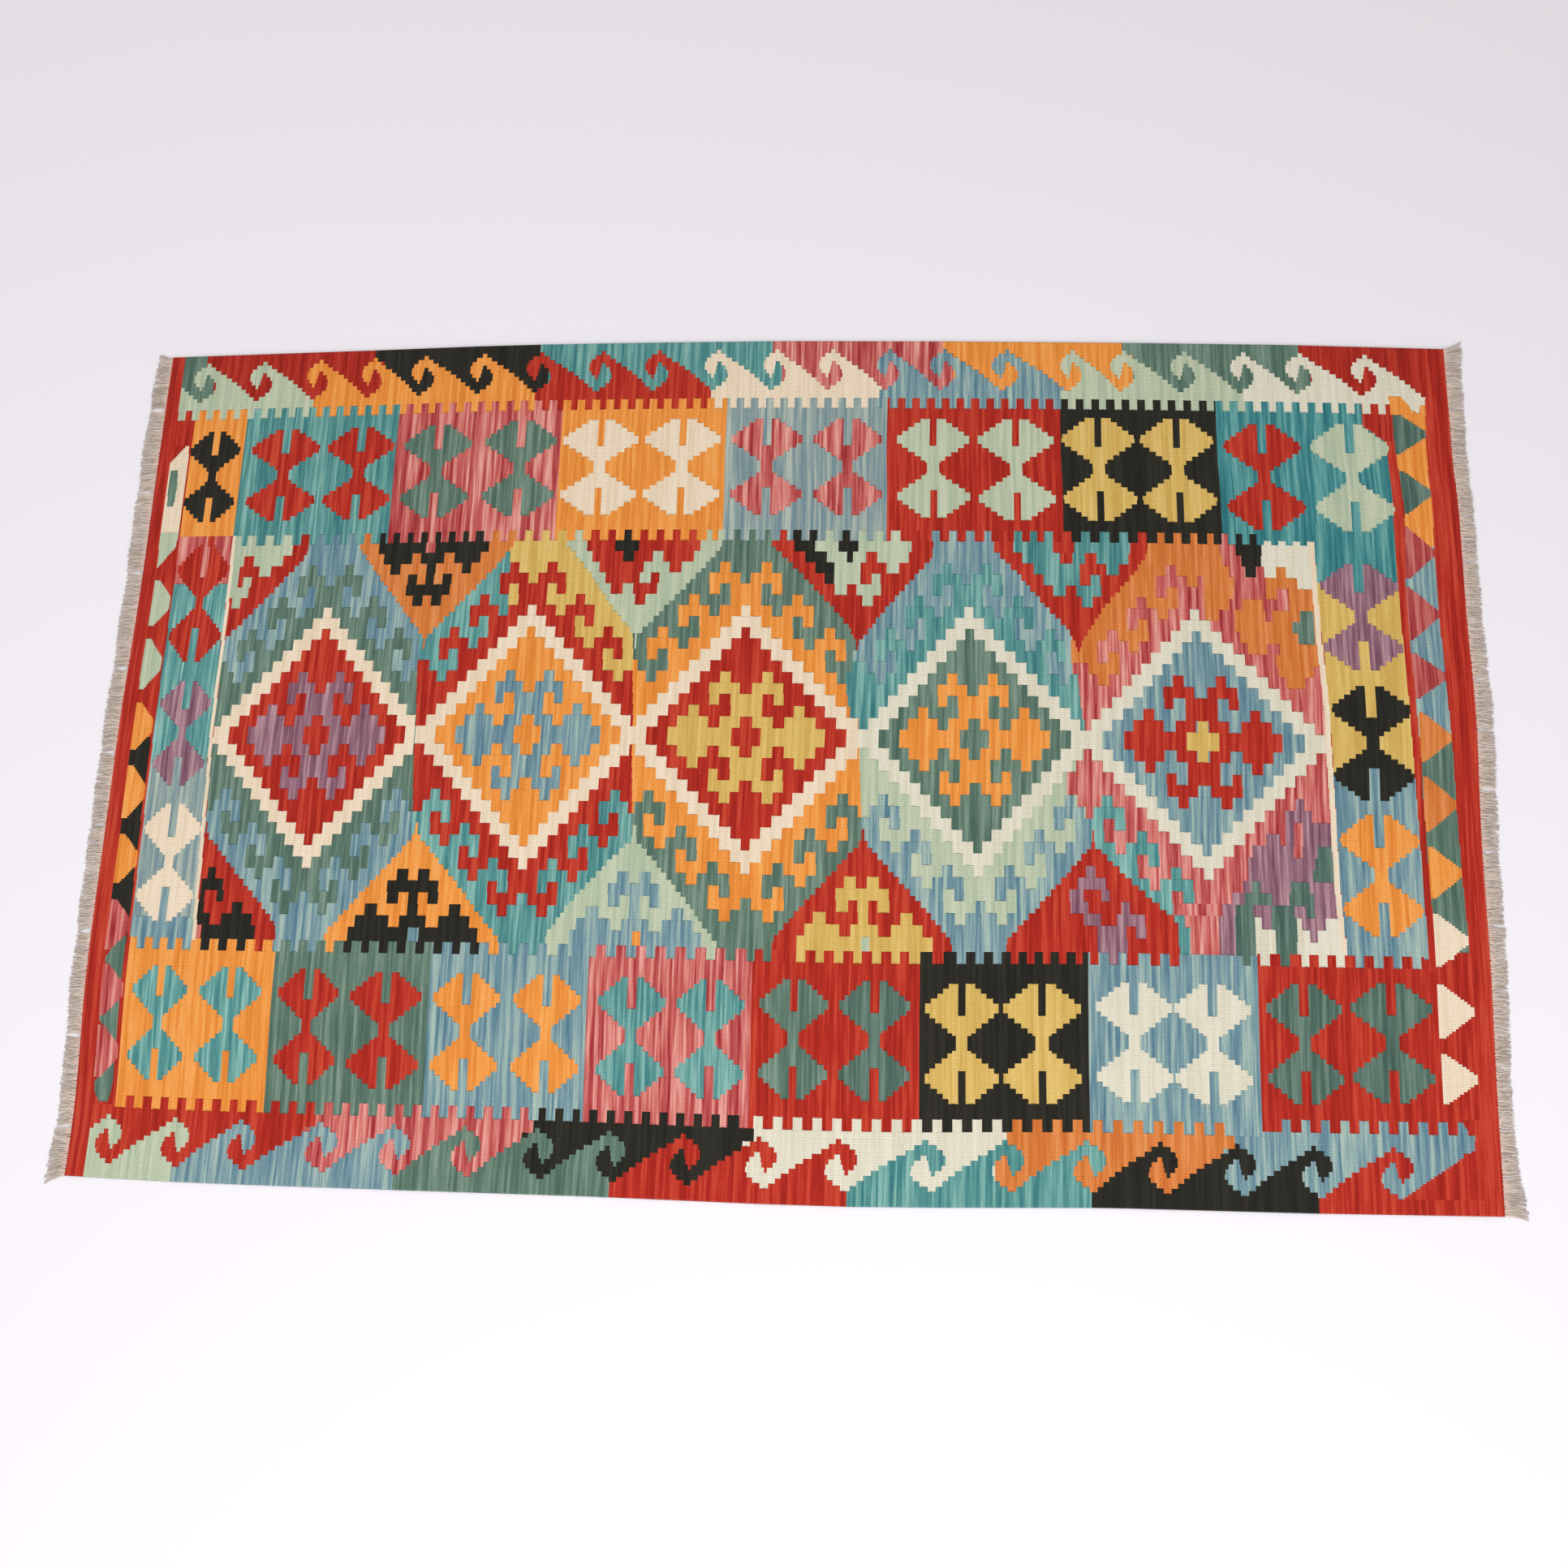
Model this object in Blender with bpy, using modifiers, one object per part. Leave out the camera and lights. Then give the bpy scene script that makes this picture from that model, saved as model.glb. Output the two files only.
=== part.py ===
"""A flat-woven wool kilim, lying flat, with a short cut fringe at each end.

Metres, +Z up. X runs along the rug's length, the way its warps run, and Y across it.
The origin is under the middle of the whole rug, on the floor.
"""

import math
import random

import bmesh
import bpy
from mathutils import Vector

CLOTH_THICKNESS = 0.0030  # a doubled weft beaten over a thick warp
CLOTH_EDGE_ROUND = 0.0009  # the rounding of the outermost yarn
SELVEDGE_STEP = 0.030  # distance between outline points along the long sides
END_STEP = 0.008  # and along the ends, which the fringe follows closely

STRIP_GAP = 0.0003  # between the cloth's last weft and the fringe's strip
STRIP_WIDTH = 0.0030
STRIP_HEIGHT = 0.0026

LOCKS = 142  # locks of fringe at each end
LOCK_SHARE = 0.84  # of the pitch that a lock takes at its root
LOCK_LENGTH = 0.0175
LOCK_LENGTH_SPREAD = 0.0016
LOCK_SWAY = 0.0006
CLUMP_PULL = 0.12  # how far a lock's tip leans to the middle of its clump
CLUMP_SIZES = (4, 3, 5, 2, 6, 3, 4, 5, 3, 2)  # locks in each clump, over and over
CORNER_SWEEP = 0.0110  # how far the corner locks fan out past the selvedge
CORNER_REACH = 0.030  # how much of the end fans out with them

# The four edges of the woven cloth, each through its own points: a long, even bow with a
# slight wander, because the loom's tension was never quite even.
# columns: x, y
TOP_SELVEDGE = (
    (-0.7605, 0.4940),
    (-0.5060, 0.5015),
    (-0.3260, 0.5068),
    (-0.0095, 0.5089),
    (0.3000, 0.5046),
    (0.5895, 0.4976),
    (0.7590, 0.4910),
)
BOTTOM_SELVEDGE = (
    (-0.7595, -0.4912),
    (-0.6400, -0.4946),
    (-0.3920, -0.4969),
    (-0.2550, -0.4972),
    (0.0870, -0.5014),
    (0.3420, -0.4956),
    (0.5720, -0.4952),
    (0.7595, -0.4932),
)
LEFT_END = (
    (-0.7595, -0.4912),
    (-0.7588, -0.4450),
    (-0.7595, -0.3980),
    (-0.7655, -0.2680),
    (-0.7662, -0.0750),
    (-0.7660, 0.0330),
    (-0.7625, 0.1820),
    (-0.7616, 0.3550),
    (-0.7605, 0.4940),
)
RIGHT_END = (
    (0.7595, -0.4932),
    (0.7602, -0.3646),
    (0.7626, -0.2350),
    (0.7627, -0.1000),
    (0.7662, 0.0440),
    (0.7640, 0.1490),
    (0.7630, 0.2950),
    (0.7604, 0.3450),
    (0.7600, 0.4025),
    (0.7590, 0.4910),
)

# How long the locks are along an end, as a share of LOCK_LENGTH.
# columns: place along the end from bottom to top (0 to 1), share on the left, share on the right
LOCK_LENGTH_ALONG = (
    (0.00, 1.28, 1.10),
    (0.03, 1.12, 1.14),
    (0.06, 0.84, 0.98),
    (0.12, 0.90, 0.92),
    (0.25, 1.02, 0.98),
    (0.50, 1.00, 1.08),
    (0.75, 1.06, 0.92),
    (0.92, 1.14, 0.96),
    (1.00, 0.86, 1.12),
)

WOOL_RED = (0.40, 0.030, 0.018, 1.0)
WARP_GREY = (0.44, 0.40, 0.34, 1.0)
WOOL_ROUGHNESS = 0.92


def clear_scene():
    """Removes whatever the file opened with."""
    for old in list(bpy.data.objects):
        bpy.data.objects.remove(old, do_unlink=True)


def wool(name, colour):
    """A matt wool with one colour."""
    material = bpy.data.materials.new(name)
    material.use_nodes = True
    shader = material.node_tree.nodes["Principled BSDF"]
    shader.inputs["Base Color"].default_value = colour
    shader.inputs["Roughness"].default_value = WOOL_ROUGHNESS
    shader.inputs["Metallic"].default_value = 0.0
    return material


def smooth_value(rows, place, column, key=0):
    """Reads a table at a place, on a smooth line through its rows."""
    last = len(rows) - 2
    span = max(i for i in range(last + 1) if i == 0 or rows[i][key] <= place)
    before, start = rows[max(span - 1, 0)], rows[span]
    end, after = rows[span + 1], rows[min(span + 2, last + 1)]
    length = end[key] - start[key]
    share = (place - start[key]) / length
    slope_in = (end[column] - before[column]) / (end[key] - before[key]) * length
    slope_out = (after[column] - start[column]) / (after[key] - start[key]) * length
    square, cube = share * share, share * share * share
    return (
        (2 * cube - 3 * square + 1) * start[column]
        + (cube - 2 * square + share) * slope_in
        + (3 * square - 2 * cube) * end[column]
        + (cube - square) * slope_out
    )


def along_selvedge(rows, share):
    """A point on a long side, from the left end (0) to the right end (1)."""
    x = rows[0][0] + (rows[-1][0] - rows[0][0]) * share
    return Vector((x, smooth_value(rows, x, column=1, key=0)))


def along_end(rows, share):
    """A point on a short end, from the bottom (0) to the top (1)."""
    y = rows[0][1] + (rows[-1][1] - rows[0][1]) * share
    return Vector((smooth_value(rows, y, column=0, key=1), y))


def cloth_outline():
    """The woven cloth's outline, anticlockwise from its bottom left corner."""
    across = round((RIGHT_END[-1][1] - RIGHT_END[0][1]) / END_STEP)
    length = round((TOP_SELVEDGE[-1][0] - TOP_SELVEDGE[0][0]) / SELVEDGE_STEP)
    outline = [along_selvedge(BOTTOM_SELVEDGE, i / length) for i in range(length)]
    outline += [along_end(RIGHT_END, i / across) for i in range(across)]
    outline += [along_selvedge(TOP_SELVEDGE, 1 - i / length) for i in range(length)]
    outline += [along_end(LEFT_END, 1 - i / across) for i in range(across)]
    return outline


def make_cloth(collection):
    """The woven cloth: its outline filled and given its thickness, with a soft rim."""
    curve = bpy.data.curves.new("kilim_cloth", "CURVE")
    curve.dimensions = "2D"
    curve.fill_mode = "BOTH"
    curve.extrude = CLOTH_THICKNESS / 2
    outline = cloth_outline()
    spline = curve.splines.new("POLY")
    spline.points.add(len(outline) - 1)
    for point, place in zip(spline.points, outline):
        point.co = (place.x, place.y, 0.0, 1.0)
    spline.use_cyclic_u = True
    cloth = bpy.data.objects.new("kilim_cloth", curve)
    cloth.location.z = CLOTH_THICKNESS / 2
    collection.objects.link(cloth)
    weld = cloth.modifiers.new("weld the caps", "WELD")
    weld.merge_threshold = 0.0001
    rim = cloth.modifiers.new("soft rim", "BEVEL")
    rim.width = CLOTH_EDGE_ROUND
    rim.segments = 1
    rim.limit_method = "ANGLE"
    rim.angle_limit = math.radians(50)
    rim.use_clamp_overlap = False
    curve.materials.append(wool("red wool weft", WOOL_RED))
    return cloth


def clump_middles():
    """For each lock, the middle of the clump that it lies in, counted in locks."""
    middles = []
    turn = 0
    while len(middles) < LOCKS:
        size = min(CLUMP_SIZES[turn % len(CLUMP_SIZES)], LOCKS - len(middles))
        middles += [len(middles) + (size - 1) / 2] * size
        turn += 1
    return middles


def fringe_places(end_rows):
    """Where the strip's corners lie along an end: a pair for each lock, with the gaps between."""
    low, high = end_rows[0][1], end_rows[-1][1]
    inset = CLOTH_EDGE_ROUND
    pitch = (high - low - 2 * inset) / LOCKS
    places = [low + inset]
    for lock in range(LOCKS):
        middle = low + inset + (lock + 0.5) * pitch
        places += [middle - LOCK_SHARE * pitch / 2, middle + LOCK_SHARE * pitch / 2]
    places.append(high - inset)
    return places, pitch


def make_strip(end_rows, outward):
    """The narrow strip beside the cloth's last weft, with a face on its outer side for each lock."""
    places, _ = fringe_places(end_rows)
    mesh = bmesh.new()
    bmesh.ops.create_grid(mesh, x_segments=1, y_segments=len(places) - 1, size=0.5)
    columns = {}
    for vertex in mesh.verts:
        columns.setdefault(round(vertex.co.y, 5), []).append(vertex)
    for key, y in zip(sorted(columns), places):
        edge = smooth_value(end_rows, y, column=0, key=1)
        inner, outer = sorted(columns[key], key=lambda v: v.co.x * outward)
        inner.co = (edge + outward * STRIP_GAP, y, 0.0)
        outer.co = (edge + outward * (STRIP_GAP + STRIP_WIDTH), y, 0.0)
    raised = bmesh.ops.extrude_face_region(mesh, geom=mesh.faces[:])["geom"]
    for vertex in (g for g in raised if isinstance(g, bmesh.types.BMVert)):
        vertex.co.z = STRIP_HEIGHT
    bmesh.ops.recalc_face_normals(mesh, faces=mesh.faces[:])
    return mesh


def lock_sections(end_rows, outward, column, seed):
    """For each lock: its two further sections, as (middle, half width, height)."""
    chance = random.Random(seed)
    places, pitch = fringe_places(end_rows)
    middles = clump_middles()
    half_root = LOCK_SHARE * pitch / 2
    sections = []
    for lock in range(LOCKS):
        y = (places[2 * lock + 1] + places[2 * lock + 2]) / 2
        x = smooth_value(end_rows, y, column=0, key=1) + outward * (STRIP_GAP + STRIP_WIDTH)
        share = lock / (LOCKS - 1)
        length = LOCK_LENGTH * smooth_value(LOCK_LENGTH_ALONG, share, column)
        length += chance.uniform(-1, 1) * LOCK_LENGTH_SPREAD - STRIP_WIDTH
        lean = (middles[lock] - lock) * pitch * CLUMP_PULL
        lean += chance.uniform(-1, 1) * LOCK_SWAY
        from_top = end_rows[-1][1] - y
        from_bottom = y - end_rows[0][1]
        lean += CORNER_SWEEP * max(0.0, 1 - from_top / CORNER_REACH) ** 1.5
        lean -= CORNER_SWEEP * max(0.0, 1 - from_bottom / CORNER_REACH) ** 1.5
        half_way = Vector((x + outward * length * 0.55, y + lean * 0.45))
        tip = Vector((x + outward * length, y + lean))
        sections.append(
            (
                (half_way, half_root * 0.92, STRIP_HEIGHT * 0.90),
                (tip, half_root * 0.74, STRIP_HEIGHT * 0.55),
            )
        )
    return sections


def make_fringe(name, end_rows, outward, column, seed, collection):
    """One end's fringe: the strip, and a lock drawn out of each of its outer faces."""
    mesh = make_strip(end_rows, outward)
    places, _ = fringe_places(end_rows)
    sections = lock_sections(end_rows, outward, column, seed)
    outer = [f for f in mesh.faces if f.normal.x * outward > 0.9]
    outer.sort(key=lambda f: f.calc_center_median().y)
    for face, lock in zip(outer[1::2], sections):
        for middle, half_width, height in lock:
            grown = bmesh.ops.extrude_discrete_faces(mesh, faces=[face])["faces"]
            face = grown[0]
            centre = face.calc_center_median()
            for vertex in face.verts:
                side = 1 if vertex.co.y > centre.y else -1
                vertex.co.z = height if vertex.co.z > centre.z else 0.0
                vertex.co.x = middle.x
                vertex.co.y = middle.y + side * half_width
    bmesh.ops.recalc_face_normals(mesh, faces=mesh.faces[:])
    data = bpy.data.meshes.new(name)
    mesh.to_mesh(data)
    mesh.free()
    data.materials.append(wool(name.replace("_", " "), WARP_GREY))
    fringe = bpy.data.objects.new(name, data)
    collection.objects.link(fringe)
    return fringe


def stand_on_origin(objects):
    """Moves everything so that the origin lies under the middle of the whole box."""
    bpy.context.view_layer.update()
    graph = bpy.context.evaluated_depsgraph_get()
    corners = []
    for item in objects:
        shape = item.evaluated_get(graph)
        mesh = shape.to_mesh()
        corners += [shape.matrix_world @ vertex.co for vertex in mesh.vertices]
        shape.to_mesh_clear()
    middle_x = (min(c.x for c in corners) + max(c.x for c in corners)) / 2
    middle_y = (min(c.y for c in corners) + max(c.y for c in corners)) / 2
    for item in objects:
        item.location.x -= middle_x
        item.location.y -= middle_y


def main():
    """Builds the rug."""
    clear_scene()
    collection = bpy.data.collections.new("kilim rug")
    bpy.context.scene.collection.children.link(collection)
    pieces = [
        make_cloth(collection),
        make_fringe("fringe_left", LEFT_END, -1, 1, 11, collection),
        make_fringe("fringe_right", RIGHT_END, 1, 2, 29, collection),
    ]
    stand_on_origin(pieces)


main()
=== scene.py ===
import itertools
import math
import random

import bpy
import numpy
from mathutils import Matrix, Vector


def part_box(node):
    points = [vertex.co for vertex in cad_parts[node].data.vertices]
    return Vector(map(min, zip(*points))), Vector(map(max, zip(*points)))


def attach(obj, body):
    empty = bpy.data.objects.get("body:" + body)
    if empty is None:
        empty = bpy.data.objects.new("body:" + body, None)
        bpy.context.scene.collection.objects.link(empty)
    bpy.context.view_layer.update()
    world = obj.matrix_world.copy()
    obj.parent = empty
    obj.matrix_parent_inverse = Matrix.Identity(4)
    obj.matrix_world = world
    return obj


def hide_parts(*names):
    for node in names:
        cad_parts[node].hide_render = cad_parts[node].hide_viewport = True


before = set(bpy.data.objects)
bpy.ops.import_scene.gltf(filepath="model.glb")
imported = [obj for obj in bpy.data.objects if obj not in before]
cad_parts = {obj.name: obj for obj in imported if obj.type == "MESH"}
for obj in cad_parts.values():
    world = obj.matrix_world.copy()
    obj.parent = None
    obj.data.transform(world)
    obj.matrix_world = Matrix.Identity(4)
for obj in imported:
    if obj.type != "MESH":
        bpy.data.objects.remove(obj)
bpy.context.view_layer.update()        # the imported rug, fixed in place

scene = bpy.context.scene
print("frame loaded:", ", ".join(sorted(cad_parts)))


# the cloth's four edges, the same as in the construction: each goes through its own points (x, y in m)
topSelvedge = ((-0.7605, 0.4940), (-0.5060, 0.5015), (-0.3260, 0.5068), (-0.0095, 0.5089),
               (0.3000, 0.5046), (0.5895, 0.4976), (0.7590, 0.4910))
bottomSelvedge = ((-0.7595, -0.4912), (-0.6400, -0.4946), (-0.3920, -0.4969), (-0.2550, -0.4972),
                  (0.0870, -0.5014), (0.3420, -0.4956), (0.5720, -0.4952), (0.7595, -0.4932))
leftEnd = ((-0.7595, -0.4912), (-0.7588, -0.4450), (-0.7595, -0.3980), (-0.7655, -0.2680),
           (-0.7662, -0.0750), (-0.7660, 0.0330), (-0.7625, 0.1820), (-0.7616, 0.3550),
           (-0.7605, 0.4940))
rightEnd = ((0.7595, -0.4932), (0.7602, -0.3646), (0.7626, -0.2350), (0.7627, -0.1000),
            (0.7662, 0.0440), (0.7640, 0.1490), (0.7630, 0.2950), (0.7604, 0.3450),
            (0.7600, 0.4025), (0.7590, 0.4910))

cloth = {
    "length": 1524,          # mm along the warps, between the two fringes
    "width": 1002,           # mm across the warps
    "warps": 376,            # ribs across the width, so one rib is 2.66 mm
    "thickness": 0.0027,     # m from the floor to the crest of a rib
    "ribDepth": 0.00040,     # m from crest to valley
    "rounding": 1.5,         # mm, how far in from the ends it reaches its full height
    "slitDepth": 0.00060,    # m more where two colours turn back from each other
    "shortestSlit": 3,       # mm
    "wideSlit": 14,          # mm, a longer slit is held nearer closed
    "leastSlit": 0.3,        # how open the longest ones still are, as a share
    "longestFace": 190,      # mm, so that long plain floats still follow the bow of the rug
    "shortestFloat": 2,      # mm, anything shorter isn't woven
    "lift": 0.0005,          # m, how unevenly it lies on the floor
    "liftWaves": 5,
    "liftSeed": 5,
}


def smoothValue(rows, place, column, key):
    # reads a table of points at one place, on a smooth line through them
    last = len(rows) - 2
    span = max(i for i in range(last + 1) if i == 0 or rows[i][key] <= place)
    before, start = rows[max(span - 1, 0)], rows[span]
    end, after = rows[span + 1], rows[min(span + 2, last + 1)]
    length = end[key] - start[key]
    share = (place - start[key]) / length
    slopeIn = (end[column] - before[column]) / (end[key] - before[key]) * length
    slopeOut = (after[column] - start[column]) / (after[key] - start[key]) * length
    square, cube = share ** 2, share ** 3
    return ((2 * cube - 3 * square + 1) * start[column] + (cube - 2 * square + share) * slopeIn
            + (3 * square - 2 * cube) * end[column] + (cube - square) * slopeOut)


def sampledEdge(rows, key):
    # an edge as 401 points: shares 0 to 1 along it, and x, y there
    shares = numpy.linspace(0.0, 1.0, 401)
    along = rows[0][key] + (rows[-1][key] - rows[0][key]) * shares
    across = numpy.array([smoothValue(rows, place, 1 - key, key) for place in along])
    return (shares, along, across) if key == 0 else (shares, across, along)


edges = {"top": sampledEdge(topSelvedge, 0), "bottom": sampledEdge(bottomSelvedge, 0),
         "left": sampledEdge(leftEnd, 1), "right": sampledEdge(rightEnd, 1)}
nodeLow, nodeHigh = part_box("kilim_cloth")
outlineX = numpy.concatenate([edge[1] for edge in edges.values()])
outlineY = numpy.concatenate([edge[2] for edge in edges.values()])
shift = ((nodeLow[0] + nodeHigh[0]) / 2 - (outlineX.min() + outlineX.max()) / 2,
         (nodeLow[1] + nodeHigh[1]) / 2 - (outlineY.min() + outlineY.max()) / 2)


def onRug(along, across):
    # where shares along the length and across the width lie on the rug as it really sits
    def edge(name, share):
        shares, x, y = edges[name]
        return numpy.stack([numpy.interp(share, shares, x), numpy.interp(share, shares, y)], -1)

    u, v = along[:, None], across[:, None]
    between = ((1 - v) * edge("bottom", along) + v * edge("top", along)
               + (1 - u) * edge("left", across) + u * edge("right", across))
    corners = [numpy.array(rows) for rows in (leftEnd[0], rightEnd[0], leftEnd[-1], rightEnd[-1])]
    flat = ((1 - u) * (1 - v) * corners[0] + u * (1 - v) * corners[1]
            + (1 - u) * v * corners[2] + u * v * corners[3])
    return between - flat + numpy.array(shift)


skeinNumbers = itertools.count(1)


def skein(dye):
    # a fresh hank of one dye, so that its streaks don't line up with its neighbours'
    return dye, next(skeinNumbers)


# the pattern is woven one warp at a time: each row holds its floats as from, to (mm) and yarn
weave = [[(0, cloth["length"], ("madder", 0))] for warp in range(cloth["warps"])]


def weaveIn(firstWarp, lastWarp, left, right, yarn):
    # lays one yarn over some warps, between two places along them (mm)
    left, right = max(round(left), 0), min(round(right), cloth["length"])
    if right - left < cloth["shortestFloat"]:
        return
    for warp in range(max(round(firstWarp), 0), min(round(lastWarp), cloth["warps"])):
        row = weave[warp]
        before = [(a, min(b, left), y) for a, b, y in row if a < left]
        after = [(max(a, right), b, y) for a, b, y in row if b > right]
        weave[warp] = before + [(left, right, yarn)] + after


def yarnAt(warp, place):
    for a, b, yarn in weave[warp]:
        if a <= place < b:
            return yarn
    return weave[warp][-1][2]


# the lines that run up the sides aren't quite straight: warp, mm
sideLines = {
    "endBand": ((0, 21), (376, 15)),
    "boxesLeft": ((0, 48), (110, 46), (200, 43), (285, 40), (376, 37)),
    "fieldLeft": ((0, 122), (110, 116.5), (200, 109), (285, 105), (376, 103)),
    "fieldRight": ((0, 1378), (105, 1375.5), (120, 1373), (160, 1370.5), (200, 1367),
                   (250, 1362.5), (285, 1360.5), (376, 1356)),
    "boxesRight": ((0, 1462), (105, 1460), (150, 1458.5), (180, 1455.5), (200, 1453),
                   (280, 1450), (320, 1451.5), (376, 1452)),
    "trianglesRight": ((0, 1468), (110, 1467), (137, 1466), (165, 1464), (190, 1462),
                       (210, 1460), (240, 1458.5), (266, 1459), (300, 1463), (345, 1458),
                       (376, 1457)),
    "startBand": ((0, 1504), (80, 1504), (120, 1501.5), (150, 1499.5), (180, 1497.5), (210, 1494.5),
                  (270, 1492.5), (335, 1495.5), (346, 1497), (352, 1499), (376, 1499)),
}


def sideLine(name, warp):
    warps, places = zip(*sideLines[name])
    return float(numpy.interp(warp, warps, places))


# stripes on the side lines: from warp, to warp, left line, right line, dye, mm more at left and right
stripes = {
    "redEndLeft": (0, 376, "endBand", "endBand", "madder", -40, 0),
    "redEndRight": (0, 376, "startBand", "startBand", "madder", 0, 60),
    "fieldStart": (100, 285, "fieldLeft", "fieldLeft", "ivory", 0, 4),
    "fieldEnd": (100, 285, "fieldRight", "fieldRight", "ivory", -6, 0),
    "besideBoxes": (96, 343, "boxesRight", "trianglesRight", "madder", 0, 0),
}
stripeStep = 9               # warps before a side line is followed one step further


def fillBetween(firstWarp, lastWarp, leftLine, rightLine, dye, moreLeft, moreRight):
    yarn = skein(dye)
    for warp in range(firstWarp, lastWarp, stripeStep):
        upTo = min(warp + stripeStep, lastWarp)
        middle = (warp + upTo) / 2
        weaveIn(warp, upTo, sideLine(leftLine, middle) + moreLeft,
                sideLine(rightLine, middle) + moreRight, yarn)


# the running waves of the long sides
wave = {
    "pitch": 70.0,           # mm
    "stepWarps": 2,
    "curl": 12,              # mm that the colour above carries on past the crest, inside the curl
    # from the trough up, step by step: left and right of the crest (mm)
    "steps": (((-2, 61),), ((5, 55),), ((10, 50),), ((-8, -5), (12, 44)), ((-13, -3), (11.5, 38)),
              ((-16, -2), (9, 31)), ((-16, -1), (4, 24)), ((-14, 16),), ((-9, 9),), ((-2, 3),)),
}
# the colours above and below the waves are listed with the place where each one ends (mm)
topBorder = {
    "trough": 352, "floor": 343, "ceiling": 376, "turn": 1, "start": 17,
    "crests": (-24, 48, 118, 188, 255, 318, 390, 460, 535, 603, 675, 745, 812, 880, 945, 1018,
               1095, 1155, 1225, 1293, 1358, 1432),
    "above": (("seaGreen", 45), ("deepMadder", 255), ("black", 458), ("teal", 740), ("rose", 943),
              ("orange", 1153), ("seaGreen", 1357), ("deepMadder", 1524)),
    "below": (("mint", 184), ("orange", 455), ("madder", 668), ("ivory", 868), ("sky", 1080),
              ("mint", 1291), ("coolIvory", 1498)),
}
bottomBorder = {
    "trough": 6, "floor": 0, "ceiling": 30, "turn": -1, "start": 22,
    "crests": (42, 117, 191, 279, 360, 438, 517, 595, 675, 756, 841, 932, 1016, 1101, 1177,
               1256, 1334, 1415),
    "above": (("madder", 273), ("rose", 512), ("black", 750), ("coolIvory", 1017),
              ("deepOrange", 1253), ("sky", 1497)),
    "below": (("mint", 119), ("sky", 364), ("seaGreen", 598), ("madder", 850), ("teal", 1105),
              ("black", 1337), ("madder", 1524)),
}


def weaveWaves(border):
    crests, turn, low, start = [border[key] for key in ("crests", "turn", "trough", "start")]
    top = low + (len(wave["steps"]) - 1) * wave["stepWarps"]
    left, curl = start, turn * wave["curl"]
    for dye, right in border["above"]:
        yarn = skein(dye)
        weaveIn(top, border["ceiling"], left, right, yarn)
        weaveIn(low, top, left + (curl if left > start else 0), right + curl, yarn)
        left = right
    left, hanks = start, []
    for dye, right in border["below"]:
        hanks.append((right, skein(dye)))
        weaveIn(border["floor"], low, left, right, hanks[-1][1])
        left = right
    for number, crest in enumerate(crests):
        ahead = number + turn
        near = crests[ahead] if 0 <= ahead < len(crests) else crest + turn * wave["pitch"]
        size = abs(near - crest) / wave["pitch"]
        yarn = next((hank for right, hank in hanks if crest < right), hanks[-1][1])
        for step, floats in enumerate(wave["steps"]):
            warp = low + step * wave["stepWarps"]
            for a, b in floats:
                ends = sorted((crest + a * size * turn, crest + b * size * turn))
                weaveIn(warp, warp + wave["stepWarps"], max(ends[0], start), ends[1], yarn)


# the combs, short teeth that lock one band into the next: from warp, to warp, a warp of the band that
# they grow from, then where a tooth stands (mm) and how many there are from it up to the next place
combs = {
    "top": (343, 348, 349, ((22.5, 14), (261.5, 48), (1093.7, 20), (1448, 0))),
    "upper": (280, 285, 279, (
        (46, 5), (128.5, 3), (193, 4), (268, 1), (286.5, 7), (402, 7), (539, 7), (673, 1), (687, 4),
        (759, 1), (775, 6), (888.5, 2), (934.5, 3), (994, 4), (1063, 6), (1190, 3), (1245.5, 7),
        (1357, 0))),
    "lower": (96, 101, 103, (
        (59.5, 3), (112, 4), (194.5, 6), (314.5, 6), (437, 7), (588.5, 7), (741.5, 3), (796, 6),
        (919, 2), (969, 2), (1007.5, 1), (1026, 4), (1094.5, 1), (1110.5, 2), (1151, 1), (1175, 1),
        (1195, 0))),
    "last": (97, 102, 104, ((1270.5, 1), (1289.8, 2), (1332, 2), (1368.5, 4), (1447.5, 0))),
    "bottom": (29, 34, 28, ((63.5, 7), (200, 1), (227, 15), (521, 2), (558, 2), (595.5, 7), (727.5, 1),
                            (753.8, 13), (1028, 10), (1238, 0))),
    "end": (31, 36, 28, ((1306.5, 9), (1486, 0))),
}
toothShare = 0.48            # of the pitch


def weaveComb(name):
    # each tooth takes the colour of the band it grows from
    firstWarp, lastWarp, sourceWarp, places = combs[name]
    for (start, teeth), (end, after) in itertools.pairwise(places):
        pitch = (end - start) / teeth
        for tooth in range(teeth + (after == 0)):
            middle = start + tooth * pitch
            weaveIn(firstWarp, lastWarp, middle - pitch * toothShare / 2,
                    middle + pitch * toothShare / 2, yarnAt(sourceWarp, middle))


# the boxes' eyes come in pairs with a neck between them
eye = {
    # from the open end to the neck: how far along, and the half width as a share of the widest
    "outline": ((0.0, 0.28), (0.42, 1.0), (0.54, 1.0), (1.0, 0.16)),
    "neck": 5,               # warps between the two eyes of a pair
    "neckHalf": 0.16,
    "slot": 0.62,            # how far the slot runs in from the open end
    "slotHalf": 5.0,         # mm
    "groundSlots": {"black": 3.8, "orange": 4.0, "madder": 4.5},     # grounds with a narrower one
    "stepWarps": 2,
}


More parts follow.
